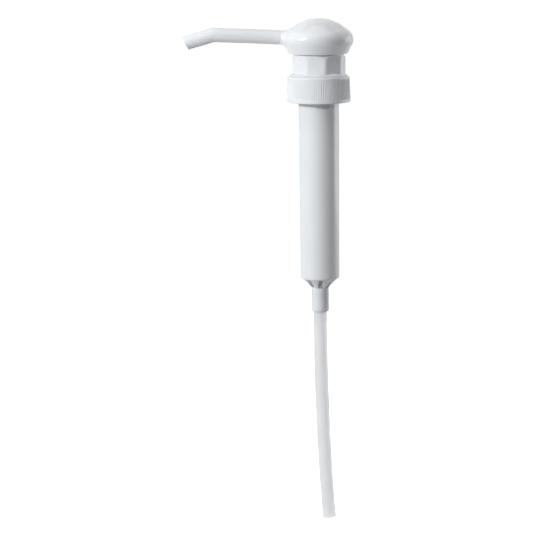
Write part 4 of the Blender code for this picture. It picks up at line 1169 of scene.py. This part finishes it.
def make_lights():
    """Key lights and a bounce from the left, a wide light overhead, tall lights from behind on
    the right, a small lamp in front on the right, and a dim even surround."""
    studio = settings()[3]
    for name, azimuth, elevation, distance, width, height, watts in LIGHTS:
        watts *= studio.key if azimuth < 0 else studio.back
        area_light(name, azimuth, elevation, distance, (width, height), watts)
    world = bpy.data.worlds.new("surround")
    world.use_nodes = True
    background = world.node_tree.nodes["Background"]
    background.inputs["Color"].default_value = (0.93, 0.97, 1.0, 1)
    background.inputs["Strength"].default_value = 0.01
    bpy.context.scene.world = world
    bpy.context.scene.view_settings.view_transform = "Standard"


def make_camera():
    """The camera, a little above the pump and to its left, looking down at it."""
    data = bpy.data.cameras.new("camera")
    data.sensor_width = 36.0
    data.lens = settings()[3].lens
    camera = bpy.data.objects.new("camera", data)
    bpy.context.scene.collection.objects.link(camera)
    camera.location = (-0.0355, -1.381, 0.0993)
    camera.rotation_euler = Euler((math.radians(90 - 9.07), 0, 0))
    camera.rotation_euler.rotate_axis("Z", math.radians(-0.65))
    data.clip_start, data.clip_end = 0.05, 60.0
    bpy.context.scene.camera = camera


# ---------------------------------------------------------------- add-on


class PUMP_OT_knob(bpy.types.Operator):
    """Make the press knob"""

    bl_idname = "pump.knob"
    bl_label = "Knob"

    def execute(self, context):
        make_knob()
        return {"FINISHED"}


class PUMP_OT_spout(bpy.types.Operator):
    """Make the spout"""

    bl_idname = "pump.spout"
    bl_label = "Spout"

    def execute(self, context):
        make_spout()
        return {"FINISHED"}


class PUMP_OT_core(bpy.types.Operator):
    """Make the core under the knob and the hollow stem"""

    bl_idname = "pump.core"
    bl_label = "Core and Stem"

    def execute(self, context):
        make_core()
        make_stem()
        return {"FINISHED"}


class PUMP_OT_collar(bpy.types.Operator):
    """Make the nine-sided locking collar"""

    bl_idname = "pump.collar"
    bl_label = "Locking Collar"

    def execute(self, context):
        make_collar()
        return {"FINISHED"}


class PUMP_OT_cap(bpy.types.Operator):
    """Make the ribbed screw cap"""

    bl_idname = "pump.cap"
    bl_label = "Screw Cap"

    def execute(self, context):
        make_cap()
        return {"FINISHED"}


class PUMP_OT_cylinder(bpy.types.Operator):
    """Make the cylinder's barrel, socket and webs"""

    bl_idname = "pump.cylinder"
    bl_label = "Cylinder"

    def execute(self, context):
        make_barrel()
        make_socket()
        return {"FINISHED"}


class PUMP_OT_dip_tube(bpy.types.Operator):
    """Make the dip tube"""

    bl_idname = "pump.dip_tube"
    bl_label = "Dip Tube"

    def execute(self, context):
        make_dip_tube()
        return {"FINISHED"}


class PUMP_OT_gland(bpy.types.Operator):
    """Make the gland bushing and its wiper ring"""

    bl_idname = "pump.gland"
    bl_label = "Gland"

    def execute(self, context):
        make_gland()
        make_wiper()
        return {"FINISHED"}


class PUMP_OT_spring(bpy.types.Operator):
    """Make the return spring"""

    bl_idname = "pump.spring"
    bl_label = "Return Spring"

    def execute(self, context):
        make_spring()
        return {"FINISHED"}


class PUMP_OT_inside(bpy.types.Operator):
    """Give the pieces inside the pump their finishes"""

    bl_idname = "pump.inside"
    bl_label = "Inner Pieces"

    def execute(self, context):
        dress_inside()
        return {"FINISHED"}


class PUMP_OT_studio(bpy.types.Operator):
    """Make the floor, the lights and the camera"""

    bl_idname = "pump.studio"
    bl_label = "Studio"

    def execute(self, context):
        make_floor()
        make_lights()
        make_camera()
        return {"FINISHED"}


OPERATORS = (
    PUMP_OT_knob,
    PUMP_OT_spout,
    PUMP_OT_core,
    PUMP_OT_collar,
    PUMP_OT_cap,
    PUMP_OT_cylinder,
    PUMP_OT_dip_tube,
    PUMP_OT_gland,
    PUMP_OT_spring,
    PUMP_OT_inside,
    PUMP_OT_studio,
)
SETTINGS = {
    "pump_knob": KnobSizes,
    "pump_housing": HousingSizes,
    "pump_colours": PumpColours,
    "pump_studio": StudioSettings,
}


class PUMP_PT_panel(bpy.types.Panel):
    """The pump's pieces and settings"""

    bl_label = "Jug Pump"
    bl_space_type = "VIEW_3D"
    bl_region_type = "UI"
    bl_category = "Jug Pump"

    def draw(self, context):
        for kind in OPERATORS:
            self.layout.operator(kind.bl_idname)
        for name, group in SETTINGS.items():
            box = self.layout.box()
            box.label(text=group.__doc__)
            for setting in group.__annotations__:
                box.prop(getattr(context.scene, name), setting)


def register():
    """Registers the settings, the operators and the panel."""
    for kind in (*SETTINGS.values(), *OPERATORS, PUMP_PT_panel):
        bpy.utils.register_class(kind)
    for name, group in SETTINGS.items():
        setattr(bpy.types.Scene, name, PointerProperty(type=group))


def unregister():
    """Takes the settings, the operators and the panel away again."""
    for name in SETTINGS:
        delattr(bpy.types.Scene, name)
    for kind in (PUMP_PT_panel, *reversed(OPERATORS), *reversed(SETTINGS.values())):
        bpy.utils.unregister_class(kind)


def main():
    """Makes every piece and the studio."""
    register()
    for kind in OPERATORS:
        group, action = kind.bl_idname.split(".")
        getattr(getattr(bpy.ops, group), action)()


if __name__ == "__main__":
    main()
